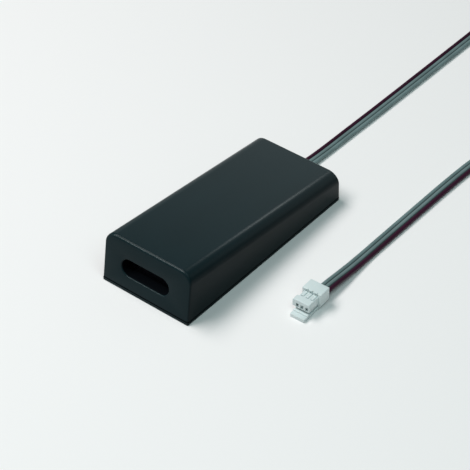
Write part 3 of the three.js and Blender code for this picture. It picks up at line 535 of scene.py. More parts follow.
class Bench:
    """Starts, shapes, joins and hands over meshes. Sizes are in millimetres until a piece is handed over."""

    @staticmethod
    def _start() -> bpy.types.Object:
        """Applies a new primitive's place and gives it."""
        piece = bpy.context.object
        bpy.ops.object.transform_apply(location=True, rotation=True, scale=True)
        return piece

    @staticmethod
    def box(low: Sequence[float], high: Sequence[float]) -> bpy.types.Object:
        """A box between two corners.

        Args:
            low: The lowest corner.
            high: The highest corner.

        Returns:
            The new mesh object.
        """
        bpy.ops.object.select_all(action="DESELECT")
        middle = [(a + b) / 2 for a, b in zip(low, high)]
        size = [b - a for a, b in zip(low, high)]
        bpy.ops.mesh.primitive_cube_add(size=1, location=middle, scale=size)
        return Bench._start()

    @staticmethod
    def rod(
        radius: float,
        start: Sequence[float],
        end: Sequence[float],
        end_radius: float | None = None,
        sides: int = 40,
    ) -> bpy.types.Object:
        """A round rod or cone between two points.

        Args:
            radius: Its radius at the start.
            start: The middle of one end.
            end: The middle of the other end.
            end_radius: Its radius at the end, or None for a straight rod.
            sides: How many flats stand for the round.

        Returns:
            The new mesh object.
        """
        bpy.ops.object.select_all(action="DESELECT")
        along = Vector(end) - Vector(start)
        bpy.ops.mesh.primitive_cone_add(
            vertices=sides,
            radius1=radius,
            radius2=radius if end_radius is None else end_radius,
            depth=along.length,
            location=(Vector(start) + Vector(end)) / 2,
            rotation=along.to_track_quat("Z", "Y").to_euler(),
        )
        return Bench._start()

    @staticmethod
    def _edit(piece: bpy.types.Object, mode: str) -> bmesh.types.BMesh:
        """Opens a piece for editing with nothing selected."""
        bpy.ops.object.select_all(action="DESELECT")
        piece.select_set(True)
        bpy.context.view_layer.objects.active = piece
        bpy.ops.object.mode_set(mode="EDIT")
        bpy.ops.mesh.select_mode(type=mode)
        bpy.ops.mesh.select_all(action="DESELECT")
        return bmesh.from_edit_mesh(piece.data)

    @staticmethod
    def _close(piece: bpy.types.Object) -> bpy.types.Object:
        """Ends editing a piece."""
        bpy.ops.object.mode_set(mode="OBJECT")
        return piece

    @staticmethod
    def slice(piece: bpy.types.Object, point: Sequence[float], outward: Sequence[float]) -> bpy.types.Object:
        """Cuts off what lies outward of a plane and closes the cut.

        Args:
            piece: The mesh to slice.
            point: A point on the plane.
            outward: The plane's normal, on the side that is cut off.

        Returns:
            The same piece.
        """
        Bench._edit(piece, "VERT")
        bpy.ops.mesh.select_all(action="SELECT")
        bpy.ops.mesh.bisect(
            plane_co=point, plane_no=outward, use_fill=True, clear_outer=True, threshold=1e-5
        )
        return Bench._close(piece)

    @staticmethod
    def bevel(
        piece: bpy.types.Object,
        wanted: Callable[[bmesh.types.BMEdge], bool],
        width: float,
        segments: int,
    ) -> bpy.types.Object:
        """Rounds the edges that a test picks.

        Args:
            piece: The mesh to round.
            wanted: Says whether an edge is rounded.
            width: The rounding's reach from the edge.
            segments: How many flats stand for the round.

        Returns:
            The same piece.
        """
        mesh = Bench._edit(piece, "EDGE")
        for edge in mesh.edges:
            edge.select = wanted(edge)
        bmesh.update_edit_mesh(piece.data)
        bpy.ops.mesh.bevel(offset=width, segments=segments, affect="EDGES", clamp_overlap=True)
        return Bench._close(piece)

    @staticmethod
    def apply(piece: bpy.types.Object, kind: str, **settings: object) -> bpy.types.Object:
        """Adds a modifier and applies it.

        Args:
            piece: The mesh.
            kind: The modifier's type.
            settings: The modifier's properties.

        Returns:
            The same piece.
        """
        bpy.ops.object.select_all(action="DESELECT")
        piece.select_set(True)
        bpy.context.view_layer.objects.active = piece
        modifier = piece.modifiers.new(kind, kind)
        for key, value in settings.items():
            setattr(modifier, key, value)
        bpy.ops.object.modifier_apply(modifier=modifier.name)
        return piece

    @staticmethod
    def weighted_bevel(
        piece: bpy.types.Object,
        width_of: Callable[[bmesh.types.BMEdge], float],
        widest: float,
        segments: int,
    ) -> bpy.types.Object:
        """Rounds edges by a width that changes from edge to edge.

        Args:
            piece: The mesh to round.
            width_of: Gives each edge's own width, 0 for none.
            widest: The largest width that it gives.
            segments: How many flats stand for the round.

        Returns:
            The same piece.
        """
        mesh = Bench._edit(piece, "EDGE")
        layer = mesh.edges.layers.float.new("bevel_weight_edge")
        for edge in mesh.edges:
            edge[layer] = width_of(edge) / widest
        bmesh.update_edit_mesh(piece.data)
        Bench._close(piece)
        return Bench.apply(piece, "BEVEL", width=widest, segments=segments, limit_method="WEIGHT")

    @staticmethod
    def combine(
        piece: bpy.types.Object, operation: str, tools: Sequence[bpy.types.Object]
    ) -> bpy.types.Object:
        """Cuts other meshes out of a piece or joins them to it, and removes them.

        Args:
            piece: The mesh that stays.
            operation: DIFFERENCE or UNION.
            tools: The meshes that are used up.

        Returns:
            The same piece.
        """
        for tool in tools:
            Bench.apply(piece, "BOOLEAN", object=tool, operation=operation, solver="EXACT")
            bpy.data.objects.remove(tool)
        return piece

    @staticmethod
    def cut(piece: bpy.types.Object, *tools: bpy.types.Object) -> bpy.types.Object:
        """Cuts tools out of a piece."""
        return Bench.combine(piece, "DIFFERENCE", tools)

    @staticmethod
    def join(piece: bpy.types.Object, *others: bpy.types.Object) -> bpy.types.Object:
        """Joins other meshes to a piece."""
        return Bench.combine(piece, "UNION", others)

    @staticmethod
    def soften(
        piece: bpy.types.Object, width: float, segments: int = 2, angle: float = 40.0
    ) -> bpy.types.Object:
        """Breaks every sharp edge of a piece.

        Args:
            piece: The mesh.
            width: The rounding's reach from each edge.
            segments: How many flats stand for the round.
            angle: The least angle in degrees that counts as sharp.

        Returns:
            The same piece.
        """
        Bench.tidy(piece, 1e-4)
        return Bench.apply(
            piece,
            "BEVEL",
            width=width,
            segments=segments,
            limit_method="ANGLE",
            angle_limit=math.radians(angle),
            use_clamp_overlap=True,
        )

    @staticmethod
    def tidy(piece: bpy.types.Object, distance: float) -> bpy.types.Object:
        """Merges points that coincide and joins faces that lie in one plane.

        Args:
            piece: The mesh.
            distance: How near two points count as one.

        Returns:
            The same piece.
        """
        Bench._edit(piece, "VERT")
        bpy.ops.mesh.select_all(action="SELECT")
        bpy.ops.mesh.remove_doubles(threshold=distance)
        bpy.ops.mesh.dissolve_limited(angle_limit=math.radians(0.5))
        return Bench._close(piece)

    @staticmethod
    def cad_copy(node: str) -> bpy.types.Object:
        """A merged copy of a CAD node's mesh, in millimetres.

        Args:
            node: The CAD node's name.

        Returns:
            The new mesh object.
        """
        twin = bpy.data.objects.new(node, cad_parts[node].data.copy())
        twin.data.materials.clear()
        twin.data.transform(Matrix.Scale(1 / MM, 4))
        bpy.context.scene.collection.objects.link(twin)
        return Bench.tidy(twin, 1e-3)

    @staticmethod
    def hand_over(
        piece: bpy.types.Object,
        name: str,
        body: str,
        slot: str,
        material: bpy.types.Material,
        replaces: Sequence[str] = (),
        place: Matrix | None = None,
        smooth: float = 32.0,
    ) -> bpy.types.Object:
        """Turns a finished mesh into metres, dresses it and fixes it to its body.

        Args:
            piece: The mesh in millimetres.
            name: The piece's name.
            body: The CAD body that it rides on.
            slot: A material slot's name; not used.
            material: Its material.
            replaces: The CAD nodes that it stands for.
            place: Where its own frame lies, in millimetres, or None if it is in place.
            smooth: Faces that meet at less than this many degrees shade as one.

        Returns:
            The finished piece.
        """
        piece.data.transform(Matrix.Scale(MM, 4) @ (place or Matrix.Identity(4)))
        piece.name = name
        piece.data.name = name
        piece.data.materials.clear()
        piece.data.materials.append(material)
        bpy.ops.object.select_all(action="DESELECT")
        piece.select_set(True)
        bpy.context.view_layer.objects.active = piece
        bpy.ops.object.shade_smooth_by_angle(angle=math.radians(smooth))
        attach(piece, body)
        if replaces:
            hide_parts(*replaces)
        LOG.info("%s: %d faces on %s", name, len(piece.data.polygons), body)
        return piece


def upright(edge: bmesh.types.BMEdge) -> bool:
    """Whether an edge runs nearly along Z."""
    along = edge.verts[1].co - edge.verts[0].co
    return abs(along.z) > 0.9 * along.length


def at(edge: bmesh.types.BMEdge, axis: int, value: float, slack: float = 0.01) -> bool:
    """Whether both ends of an edge lie at a coordinate.

    Args:
        edge: The edge.
        axis: 0, 1 or 2 for X, Y or Z.
        value: The coordinate.
        slack: How far off an end may be.

    Returns:
        True if both ends are that near.
    """
    return all(abs(vert.co[axis] - value) < slack for vert in edge.verts)


# --------------------------------------------------------------------- housing


@dataclass
class Housing:
    """Wedge-shaped cover, its window and the base plate under it, in millimetres."""

    finishes: Finishes
    rear_height: float = 12.85
    front_lean: float = 2.8
    rear_lean: float = 0.45
    side_draft: float = 0.25
    shoulder: float = 4.8
    top_edge: float = 1.3
    corner: float = 0.6
    wall: float = 2.0
    slot_length: float = 21.9
    slot_height: float = 7.2
    slot_rise: float = 10.5
    slot_offset: float = -0.65
    slot_lip: float = 0.5
    sleeve_depth: float = 5.6
    sleeve_wall: float = 1.2
    pin_radius: float = 1.5
    pin_gap: float = 0.1
    boss_wall: float = 1.5
    boss_seat: float = 3.3
    pin_reach: float = 4.5
    front_pin_inset: float = 13.5
    rear_pin_inset: float = 7.0
    pin_side_inset: float = 5.6
    rim: float = 1.2
    channel_floor: float = 0.7
    floor: float = 2.0
    fit: float = 0.3
    post_radius: float = 2.2
    fixing_radius: float = 2.1
    fixing_head: float = 3.4
    fixing_side_inset: float = 5.8
    fixing_spacing: float = 24.0
    countersink: float = 1.2
    lead_offset: float = -2.0
    channel: float = 6.3
    front_height: float = field(init=False)
    half_width: float = field(init=False)
    half_length: float = field(init=False)
    foot: float = field(init=False)

    def __post_init__(self) -> None:
        """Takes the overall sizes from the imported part."""
        low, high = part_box("cover")
        plate_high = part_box("base_plate")[1]
        self.front_height = round(high.z / MM, 2)
        self.half_width = round(plate_high.x / MM, 2)
        self.half_length = round(plate_high.y / MM, 2)
        self.foot = low.z / MM

    def body(self, inset: float, foot: float, segments: int) -> bpy.types.Object:
        """The outer body, or the same body with every face moved in.

        Args:
            inset: How far the faces are moved in.
            foot: The height of its open end.
            segments: How many flats round each long shoulder.

        Returns:
            The solid.
        """
        lean = math.atan2(self.front_lean, self.front_height)
        rear = math.atan2(self.rear_lean, self.rear_height)
        draft = math.atan2(self.side_draft, self.front_height)
        run = 2 * self.half_length - self.front_lean - self.rear_lean
        slope = math.atan2(self.front_height - self.rear_height, run)
        wide, deep = self.half_width, self.half_length
        front = -deep + self.front_lean
        solid = Bench.box((-wide, -deep, foot), (wide, deep, self.front_height + 2))
        top = Vector((0, math.sin(slope), math.cos(slope)))
        faces = (
            (Vector((0, front, self.front_height)), top),
            (Vector((0, -deep, 0)), Vector((0, -math.cos(lean), math.sin(lean)))),
            (Vector((0, deep, 0)), Vector((0, math.cos(rear), math.sin(rear)))),
            (Vector((wide, 0, 0)), Vector((math.cos(draft), 0, math.sin(draft)))),
            (Vector((-wide, 0, 0)), Vector((-math.cos(draft), 0, math.sin(draft)))),
        )
        for point, outward in faces:
            Bench.slice(solid, point - outward * inset, outward)
        radius = max(self.shoulder - inset, 0.5)

        def long_top(edge: bmesh.types.BMEdge) -> bool:
            """Whether an edge is one of the two long edges of the top."""
            along = edge.verts[1].co - edge.verts[0].co
            return abs(along.y) > 0.9 * along.length and min(v.co.z for v in edge.verts) > foot + 1

        return Bench.bevel(solid, long_top, radius, segments)

    def round_ends(self, solid: bpy.types.Object, inset: float, foot: float) -> bpy.types.Object:
        """Rounds the outline of both end faces, more over the top than at the upright corners.

        Args:
            solid: The body.
            inset: How far its faces are moved in.
            foot: The height of its open end.

        Returns:
            The same body.
        """
        top, side = max(self.top_edge - inset, 0.2), max(self.corner - inset, 0.3)

        def on_end(vert: bmesh.types.BMVert) -> int:
            """-1 on the sensing face, 1 on the cable end's face, 0 elsewhere."""
            front = -self.half_length + inset + self.front_lean * vert.co.z / self.front_height
            rear = self.half_length - inset - self.rear_lean * vert.co.z / self.rear_height
            if abs(vert.co.y - front) < 0.05:
                return -1
            return 1 if abs(vert.co.y - rear) < 0.05 else 0

        def width_of(edge: bmesh.types.BMEdge) -> float:
            """The rounding of one edge."""
            ends = [on_end(vert) for vert in edge.verts]
            if ends[0] == 0 or ends[0] != ends[1] or at(edge, 2, foot):
                return 0.0
            along = edge.verts[1].co - edge.verts[0].co
            steep = abs(along.z) / along.length
            return top + (side - top) * steep**3

        return Bench.weighted_bevel(solid, width_of, side, 5)

    def face_place(self) -> Matrix:
        """The frame of the sensing face: X across, Y up the face from its foot, Z out of it."""
        lean = math.atan2(self.front_lean, self.front_height)
        turned = Matrix(
            (
                (1, 0, 0, 0),
                (0, math.sin(lean), -math.cos(lean), -self.half_length),
                (0, math.cos(lean), math.sin(lean), 0),
                (0, 0, 0, 1),
            )
        )
        return turned

    def slot_prism(self, grow: float, deep: float, shallow: float) -> bpy.types.Object:
        """A bar with the slot's round-ended outline, square to the sensing face.

        Args:
            grow: How far its outline stands outside the slot's.
            deep: The depth of its inner end below the face.
            shallow: The depth of its outer end, negative outside.

        Returns:
            The solid, in the face's own frame.
        """
        half_long = self.slot_length / 2 + grow
        half_high = self.slot_height / 2 + grow
        low = (self.slot_offset - half_long, self.slot_rise - half_high, -deep)
        high = (self.slot_offset + half_long, self.slot_rise + half_high, -shallow)
        return Bench.bevel(Bench.box(low, high), upright, half_high * 0.999, 16)

    def slot_cutter(self) -> bpy.types.Object:
        """The slot's own bar, with a flange outside the face that leaves a rounded lip."""
        skin = 0.02
        cutter = self.slot_prism(0.0, self.sleeve_depth + 1, -skin)
        mesh = Bench._edit(cutter, "FACE")
        for face in mesh.faces:
            face.select = face.normal.z > 0.9
        bmesh.update_edit_mesh(cutter.data)
        bpy.ops.mesh.inset(thickness=0.0, depth=0.0)
        bpy.ops.transform.resize(
            value=(1.4, 2.2, 1.0), center_override=(self.slot_offset, self.slot_rise, skin)
        )
        bpy.ops.mesh.extrude_region_move(TRANSFORM_OT_translate={"value": (0, 0, 3)})
        Bench._close(cutter)
        reach = self.slot_height / 2 + 0.3
        straight = (self.slot_length - self.slot_height) / 2

        def mouth(edge: bmesh.types.BMEdge) -> bool:
            """Whether an edge lies on the slot's outline at the face."""
            if not at(edge, 2, skin):
                return False
            for vert in edge.verts:
                sideways = max(abs(vert.co.x - self.slot_offset) - straight, 0)
                if math.hypot(sideways, vert.co.y - self.slot_rise) > reach:
                    return False
            return True

        Bench.bevel(cutter, mouth, self.slot_lip, 5)
        return cutter

    def pins(self) -> list[tuple[float, float]]:
        """Places of the four pins."""
        across = self.half_width - self.pin_side_inset
        front = -self.half_length + self.front_pin_inset
        rear = self.half_length - self.rear_pin_inset
        return [(side * across, y) for side in (-1, 1) for y in (front, rear)]

    def make_cover(self) -> bpy.types.Object:
        """Makes the cover with its slot, sleeve and bosses."""
        cover = self.round_ends(self.body(0.0, self.foot, 16), 0.0, self.foot)
        Bench.cut(cover, self.body(self.wall, self.foot - 2, 8))
        within = self.body(self.wall / 2, self.foot - 1, 8)
        boss_radius = self.pin_radius + self.pin_gap + self.boss_wall
        bosses = []
        for x, y in self.pins():
            boss = Bench.rod(boss_radius, (x, y, self.boss_seat), (x, y, self.front_height))
            bosses.append(Bench.apply(boss, "BOOLEAN", object=within, operation="INTERSECT", solver="EXACT"))
        bpy.data.objects.remove(within)
        place = self.face_place()
        sleeve = self.slot_prism(self.sleeve_wall, self.sleeve_depth, self.wall / 2)
        cutter = self.slot_cutter()
        for tool in (sleeve, cutter):
            tool.data.transform(place)
        Bench.join(cover, *bosses, sleeve)
        top = self.boss_seat + self.pin_reach + self.fit
        bore = self.pin_radius + self.pin_gap
        bores = [Bench.rod(bore, (x, y, self.boss_seat - 1), (x, y, top)) for x, y in self.pins()]
        half = self.channel / 2
        low = (self.lead_offset - half, self.half_length - 2 * self.wall, 0)
        high = (self.lead_offset + half, self.half_length + 1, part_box("cable_clamp")[0].z / MM)
        notch = Bench.bevel(
            Bench.box(low, high),
            lambda edge: at(edge, 2, high[2]) and abs(edge.verts[0].co.y - edge.verts[1].co.y) > 1,
            0.6,
            4,
        )
        Bench.cut(cover, cutter, *bores, notch)
        inside = place.inverted()
        Bench.hand_over(cover, "cover_shell", "cover", "housing", self.finishes.housing, ["cover"], smooth=28)
        # Painted shade: the faces inside the slot, behind its lip, take the near-black finish instead of the
        # cover's own plastic.
        cover.data.materials.append(self.finishes.sleeve)
        half_long, half_high = self.slot_length / 2 + self.fit, self.slot_height / 2 + self.fit
        for face in cover.data.polygons:
            spot = inside @ (face.center / MM)
            across, rise = abs(spot.x - self.slot_offset), abs(spot.y - self.slot_rise)
            if across < half_long and rise < half_high and -self.sleeve_depth - 1 < spot.z < -self.slot_lip:
                face.material_index = 1
        return cover

    def make_window(self) -> bpy.types.Object:
        """Makes the dark filter window behind the slot, with a plug that fills the sleeve."""
        back = self.sleeve_depth + self.fit
        pane = self.slot_prism(self.sleeve_wall, back + 1.2, back)
        plug = self.slot_prism(-self.fit, back + 0.6, self.sleeve_depth - 1.0)
        window = Bench.soften(Bench.join(pane, plug), 0.12)
        return Bench.hand_over(
            window,
            "filter_window",
            "cover",
            "window",
            self.finishes.window,
            ["sensor_window"],
            self.face_place(),
        )

    def make_plate(self) -> bpy.types.Object:
        """Makes the base plate with its pins, posts, channel and countersunk holes."""
        wide, deep = self.half_width, self.half_length
        plate = Bench.bevel(Bench.box((-wide, -deep, 0), (wide, deep, self.rim)), upright, self.corner, 8)
        Bench.soften(plate, 0.12)
        inset = self.wall + self.fit
        front = -deep + self.front_lean * self.floor / self.front_height + inset
        step = Bench.box((-wide + inset, front, self.rim / 2), (wide - inset, deep - inset, self.floor))
        Bench.soften(Bench.bevel(step, upright, 1.0, 6), 0.15)
        collar = self.pin_radius + self.pin_gap + self.boss_wall
        tip = self.boss_seat + self.pin_reach
        bars = []
        for x, y in self.pins():
            seat = Bench.rod(collar, (x, y, self.rim), (x, y, self.boss_seat - 0.05))
            pin = Bench.rod(self.pin_radius, (x, y, self.rim), (x, y, tip))
            Bench.bevel(pin, lambda edge: at(edge, 2, tip), 0.5, 4)
            bars += [seat, pin]
        board_low, board_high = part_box("circuit_board")
        for x, y in self.posts():
            bars.append(Bench.rod(self.post_radius, (x, y, self.rim), (x, y, board_low.z / MM)))
        clamp_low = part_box("cable_clamp")[0].z / MM
        for screw in ("clamp_screw_1", "clamp_screw_2"):
            x, y = self.middle_of(screw)
            bars.append(Bench.rod(self.post_radius, (x, y, self.rim), (x, y, clamp_low)))
        Bench.join(plate, step, *bars)
        tools = []
        for screw in ("board_screw_1", "board_screw_2", "clamp_screw_1", "clamp_screw_2"):
            x, y = self.middle_of(screw)
            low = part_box(screw)[0].z / MM - self.fit
            tools.append(Bench.rod(1.3, (x, y, low), (x, y, board_low.z / MM + 1)))
        half = self.channel / 2
        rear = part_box("cable_clamp")[0].y / MM - 8
        tools.append(
            Bench.box(
                (self.lead_offset - half, rear, self.channel_floor),
                (self.lead_offset + half, deep + 1, self.floor + 1),
            )
        )
        for side in (-1, 1):
            x = side * (wide - self.fixing_side_inset)
            y = side * self.fixing_spacing / 2
            tools.append(Bench.rod(self.fixing_radius, (x, y, -1), (x, y, self.floor + 1)))
            tools.append(
                Bench.rod(
                    self.fixing_radius,
                    (x, y, self.floor - self.countersink),
                    (x, y, self.floor + 0.001),
                    self.fixing_head,
                )
            )
        Bench.cut(plate, *tools)
        Bench.hand_over(plate, "plate", "base", "housing", self.finishes.plate, ["base_plate"])
        # The top of the rim gets painted shade.
        self.paint_rim_shade(plate)
        return plate

    def paint_rim_shade(self, plate: bpy.types.Object) -> None:
        """Paints shade on the top of the plate's rim: gives it the sleeve's near-black finish, so that the
        seam reads as a dark shadow line.

        Args:
            plate: The finished base plate.
        """
        facing_up, level = 0.5, 0.1
        plate.data.materials.append(self.finishes.sleeve)
        for face in plate.data.polygons:
            if face.normal.z > facing_up and abs(face.center.z / MM - self.rim) < level:
                face.material_index = 1

    @staticmethod
    def middle_of(node: str) -> tuple[float, float]:
        """The middle of a CAD node seen from above, in millimetres."""
        low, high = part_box(node)
        return ((low.x + high.x) / 2 / MM, (low.y + high.y) / 2 / MM)

    def posts(self) -> list[tuple[float, float]]:
        """Places of the four posts under the board: two under its screws, two mirrored across."""
        places = [self.middle_of(screw) for screw in ("board_screw_1", "board_screw_2")]
        return places + [(-x, y) for x, y in places]

    def build(self) -> None:
        """Makes the three pieces."""
        self.make_cover()
        self.make_window()
        self.make_plate()


# ------------------------------------------------------------------------ lead


def along_curve(points: Sequence[Vector], step: float) -> list[Vector]:
    """Places along a centripetal Catmull-Rom curve through given points.

    Args:
        points: The points that it passes through.
        step: The wanted distance between places.

    Returns:
        The places, from the first point to the last.
    """
    ends = [points[0] * 2 - points[1], *points, points[-1] * 2 - points[-2]]
    places = []
    for a, b, c, d in zip(ends, ends[1:], ends[2:], ends[3:]):
        first = math.sqrt((b - a).length)
        second = first + math.sqrt((c - b).length)
        third = second + math.sqrt((d - c).length)
        count = max(1, round((c - b).length / step))
        for index in range(count):
            t = first + (second - first) * index / count
            ab = a.lerp(b, t / first)
            bc = b.lerp(c, (t - first) / (second - first))
            cd = c.lerp(d, (t - second) / (third - second))
            abc = ab.lerp(bc, t / second)
            bcd = bc.lerp(cd, (t - first) / (third - first))
            places.append(abc.lerp(bcd, (t - first) / (second - first)))
    return [*places, points[-1].copy()]


def eased(value: float, low: float, high: float) -> float:
    """Goes smoothly from 0 at low to 1 at high.

    Args:
        value: The value.
        low: Where the result leaves 0.
        high: Where it reaches 1.

    Returns:
        The share.
    """
    share = min(1.0, max(0.0, (value - low) / (high - low)))
    return share * share * (3 - 2 * share)


def sweep(
    places: Sequence[Vector], turns: Sequence[float], section: Sequence[tuple[float, float]], unit: float
) -> bpy.types.Object:
    """A closed tube of one section along a line, carrying "across" and "along" at its points.

    Args:
        places: The line, in metres.
        turns: How far the section is rolled at each place, in radians.
        section: The section's outline as offsets across and up, in metres.
        unit: The length across that counts as 1 in "across".

    Returns:
        The new mesh object.
    """
    verts, across, along = [], [], []
    travelled = 0.0
    last = len(places) - 1
    for index, (place, turn) in enumerate(zip(places, turns)):
        ahead = (places[min(index + 1, last)] - places[max(index - 1, 0)]).normalized()
        side = ahead.cross(Vector((0, 0, 1))).normalized()
        rise = side.cross(ahead)
        wide = side * math.cos(turn) - rise * math.sin(turn)
        thick = side * math.sin(turn) + rise * math.cos(turn)
        travelled += (place - places[max(index - 1, 0)]).length
        for offset, up in section:
            verts.append(place + wide * offset + thick * up)
            across.append(offset / unit)
            along.append(travelled)
    count = len(section)
    faces = [
        (row + i, row + (i + 1) % count, row + count + (i + 1) % count, row + count + i)
        for row in range(0, last * count, count)
        for i in range(count)
    ]
    faces += [tuple(range(count)), tuple(range(last * count, (last + 1) * count))]
    mesh = bpy.data.meshes.new("tube")
    mesh.from_pydata(verts, [], faces)
    for name, numbers in (("across", across), ("along", along)):
        mesh.attributes.new(name, "FLOAT", "POINT").data.foreach_set("value", numbers)
    tube = bpy.data.objects.new("tube", mesh)
    bpy.context.scene.collection.objects.link(tube)
    Bench._edit(tube, "FACE")
    bpy.ops.mesh.select_all(action="SELECT")
    bpy.ops.mesh.normals_make_consistent(inside=False)
    return Bench._close(tube)


@dataclass
class Lead:
    """Flat lead of three bonded wires: out of the housing, wound into a coil, and back to the plug.

    Sizes are in millimetres; routes are the middle of the lead.
    """

    finishes: Finishes
    wire: float = 1.7
    count: int = 3
    neck: float = 0.30
    length: float = 2000.0
    exit: Point = (-1.95, 45.0, 1.9)
    coil_centre: tuple[float, float] = (31.7, 212.0)
    coil_radius: float = 31.6
    coil_pitch: float = 2.0
    coil_turns: float = 4.75
    coil_lower: float = 2.7
    coil_lift: float = 0.8
    coil_layer: float = 5.3
    floor_gap: float = 0.05
    outward: tuple[Point, ...] = (
        (-2.15, 34.7, 1.9),
        (-2.05, 39.0, 1.9),
        (-1.95, 45.5, 1.9),
        (-1.85, 51.0, 1.6),
        (-1.72, 57.0, 1.12),
        (-1.55, 64.0, 0.9),
        (-1.25, 80.0, 0.9),
        (-0.90, 98.0, 0.9),
        (-0.65, 118.0, 0.9),
        (-0.45, 138.0, 0.9),
        (-0.30, 156.0, 0.9),
        (-0.15, 172.0, 0.9),
        (0.00, 185.0, 0.9),
        (0.10, 196.6, 0.9),
    )
    back: tuple[Point, ...] = (
        (47.60, -3.7, 2.95),
        (47.66, 1.0, 2.95),
        (47.60, 8.0, 2.3),
        (47.42, 16.0, 1.45),
        (47.25, 24.0, 0.98),
        (47.25, 34.0, 0.9),
        (47.33, 46.0, 0.9),
        (47.45, 60.0, 0.9),
        (47.62, 76.0, 0.9),
        (48.10, 90.0, 0.95),
        (49.60, 106.0, 1.3),
        (52.20, 124.0, 2.3),
        (55.40, 144.0, 3.9),
        (58.60, 164.0, 5.6),
        (61.20, 182.0, 7.2),
        (62.60, 195.2, 8.1),
    )

    def coil_place(self, turn: float) -> Vector:
        """Where the coiled lead is after a number of turns.

        Args:
            turn: Turns since it reached the coil, clockwise seen from above.

        Returns:
            The place, in millimetres.
        """
        past = turn - self.coil_turns
        tuck = 2.0 * math.cos(math.pi * past) ** 2 if abs(past) < 0.5 else 0.0
        radius = self.coil_radius - self.coil_pitch * (self.coil_turns - abs(past)) - tuck
        angle = math.pi - 2 * math.pi * turn
        tilt = self.coil_lift * (1 + math.sin(angle)) / 2
        height = self.coil_lower + tilt + self.coil_layer * eased(past, -0.3, 0.3)
        x, y = self.coil_centre
        return Vector((x + radius * math.cos(angle), y + radius * math.sin(angle), height))

    def line(self) -> tuple[list[Vector], list[float]]:
        """The middle of the whole lead in millimetres, and how far it is rolled on edge at each place."""
        steps = round(2 * self.coil_turns * 64)
        coil = [self.coil_place(2 * self.coil_turns * index / steps) for index in range(1, steps)]
        out = [Vector(point) for point in self.outward]
        start, end = self.coil_place(0.0), self.coil_place(2 * self.coil_turns)
        out_line = along_curve([*out, start], 2.2)
        back_line = along_curve([end, *(Vector(point) for point in reversed(self.back))], 2.2)
        half_up, half_wide = self.wire / 2, self.wire * self.count / 2
        places, turns = [], []
        for place in out_line:
            turn = math.pi / 2 * eased(place.y, 168.0, 206.0)
            rest = half_up * math.cos(turn) + half_wide * math.sin(turn) + self.floor_gap
            if place.y > 160:
                share = eased(place.y, 190.0, 212.0)
                place.z = rest + (start.z - rest) * share
            places.append(place)
            turns.append(turn)
        places += coil
        turns += [math.pi / 2] * len(coil)
        for place in back_line:
            places.append(place)
            turns.append(math.pi / 2 * eased(place.y, 112.0, 196.0))
        return places, turns

    def section(self) -> list[tuple[float, float]]:
        """The outline of the bonded wires, as offsets across and up in millimetres."""
        radius = self.wire / 2
        neck = math.asin(self.neck / radius)
        top = []
        for index in range(self.count):
            middle = (index - (self.count - 1) / 2) * self.wire
            first = math.pi if index == 0 else math.pi - neck
            last = 0.0 if index == self.count - 1 else neck
            angles = [first + (last - first) * step / 7 for step in range(8)]
            top += [(middle + radius * math.cos(a), radius * math.sin(a)) for a in angles]
        return top + [(across, -up) for across, up in reversed(top[1:-1])]

    def build(self, plug_pieces: Sequence[bpy.types.Object]) -> bpy.types.Object:
        """Args:
            plug_pieces: The plug's pieces and the coil's tie; not used.

        Returns:
            The lead.
        """
        places, turns = self.line()
        metres = [place * MM for place in places]
        section = [(across * MM, up * MM) for across, up in self.section()]
        lead = sweep(metres, turns, section, self.wire * MM)
        lead.data.transform(Matrix.Scale(1 / MM, 4))
        nodes = ["cable_outward", "cable_coil", "cable_return"]
        Bench.hand_over(lead, "lead", "base", "grey_wire", self.finishes.lead, nodes, smooth=50)
        return lead


@dataclass
class CoilTie:
    """Woven strap closed round the coil's section, with its end lapped over on top."""

    finishes: Finishes
    thickness: float = 0.6
    lap: float = 8.0

    def build(self) -> bpy.types.Object:
        """Makes the strap and gives it."""
        low, high = (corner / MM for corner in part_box("coil_tie"))
        strap = Bench.box(low, high)

        def lengthwise(edge: bmesh.types.BMEdge) -> bool:
            """Whether an edge runs across the strap, along X."""
            return abs(edge.verts[1].co.x - edge.verts[0].co.x) > 1

        Bench.bevel(strap, lengthwise, 1.6, 8)
        wall = Vector((0, self.thickness, self.thickness))
        side = Vector((1, 0, 0))
        inside = Bench.bevel(Bench.box(low + wall - side, high - wall + side), lengthwise, 1.0, 8)
        Bench.cut(strap, inside)
        middle = (low.y + high.y) / 2
        top = high.z - 0.05
        end = Bench.box(
            (low.x, middle - self.lap / 2, top), (high.x, middle + self.lap / 2, top + self.thickness)
        )
        Bench.bevel(end, upright, 1.2, 6)
        Bench.join(strap, end)
        Bench.soften(strap, 0.1, 2)
        return Bench.hand_over(strap, "strap", "base", "tie", self.finishes.tie, ["coil_tie"])


# ------------------------------------------------------------------------ plug


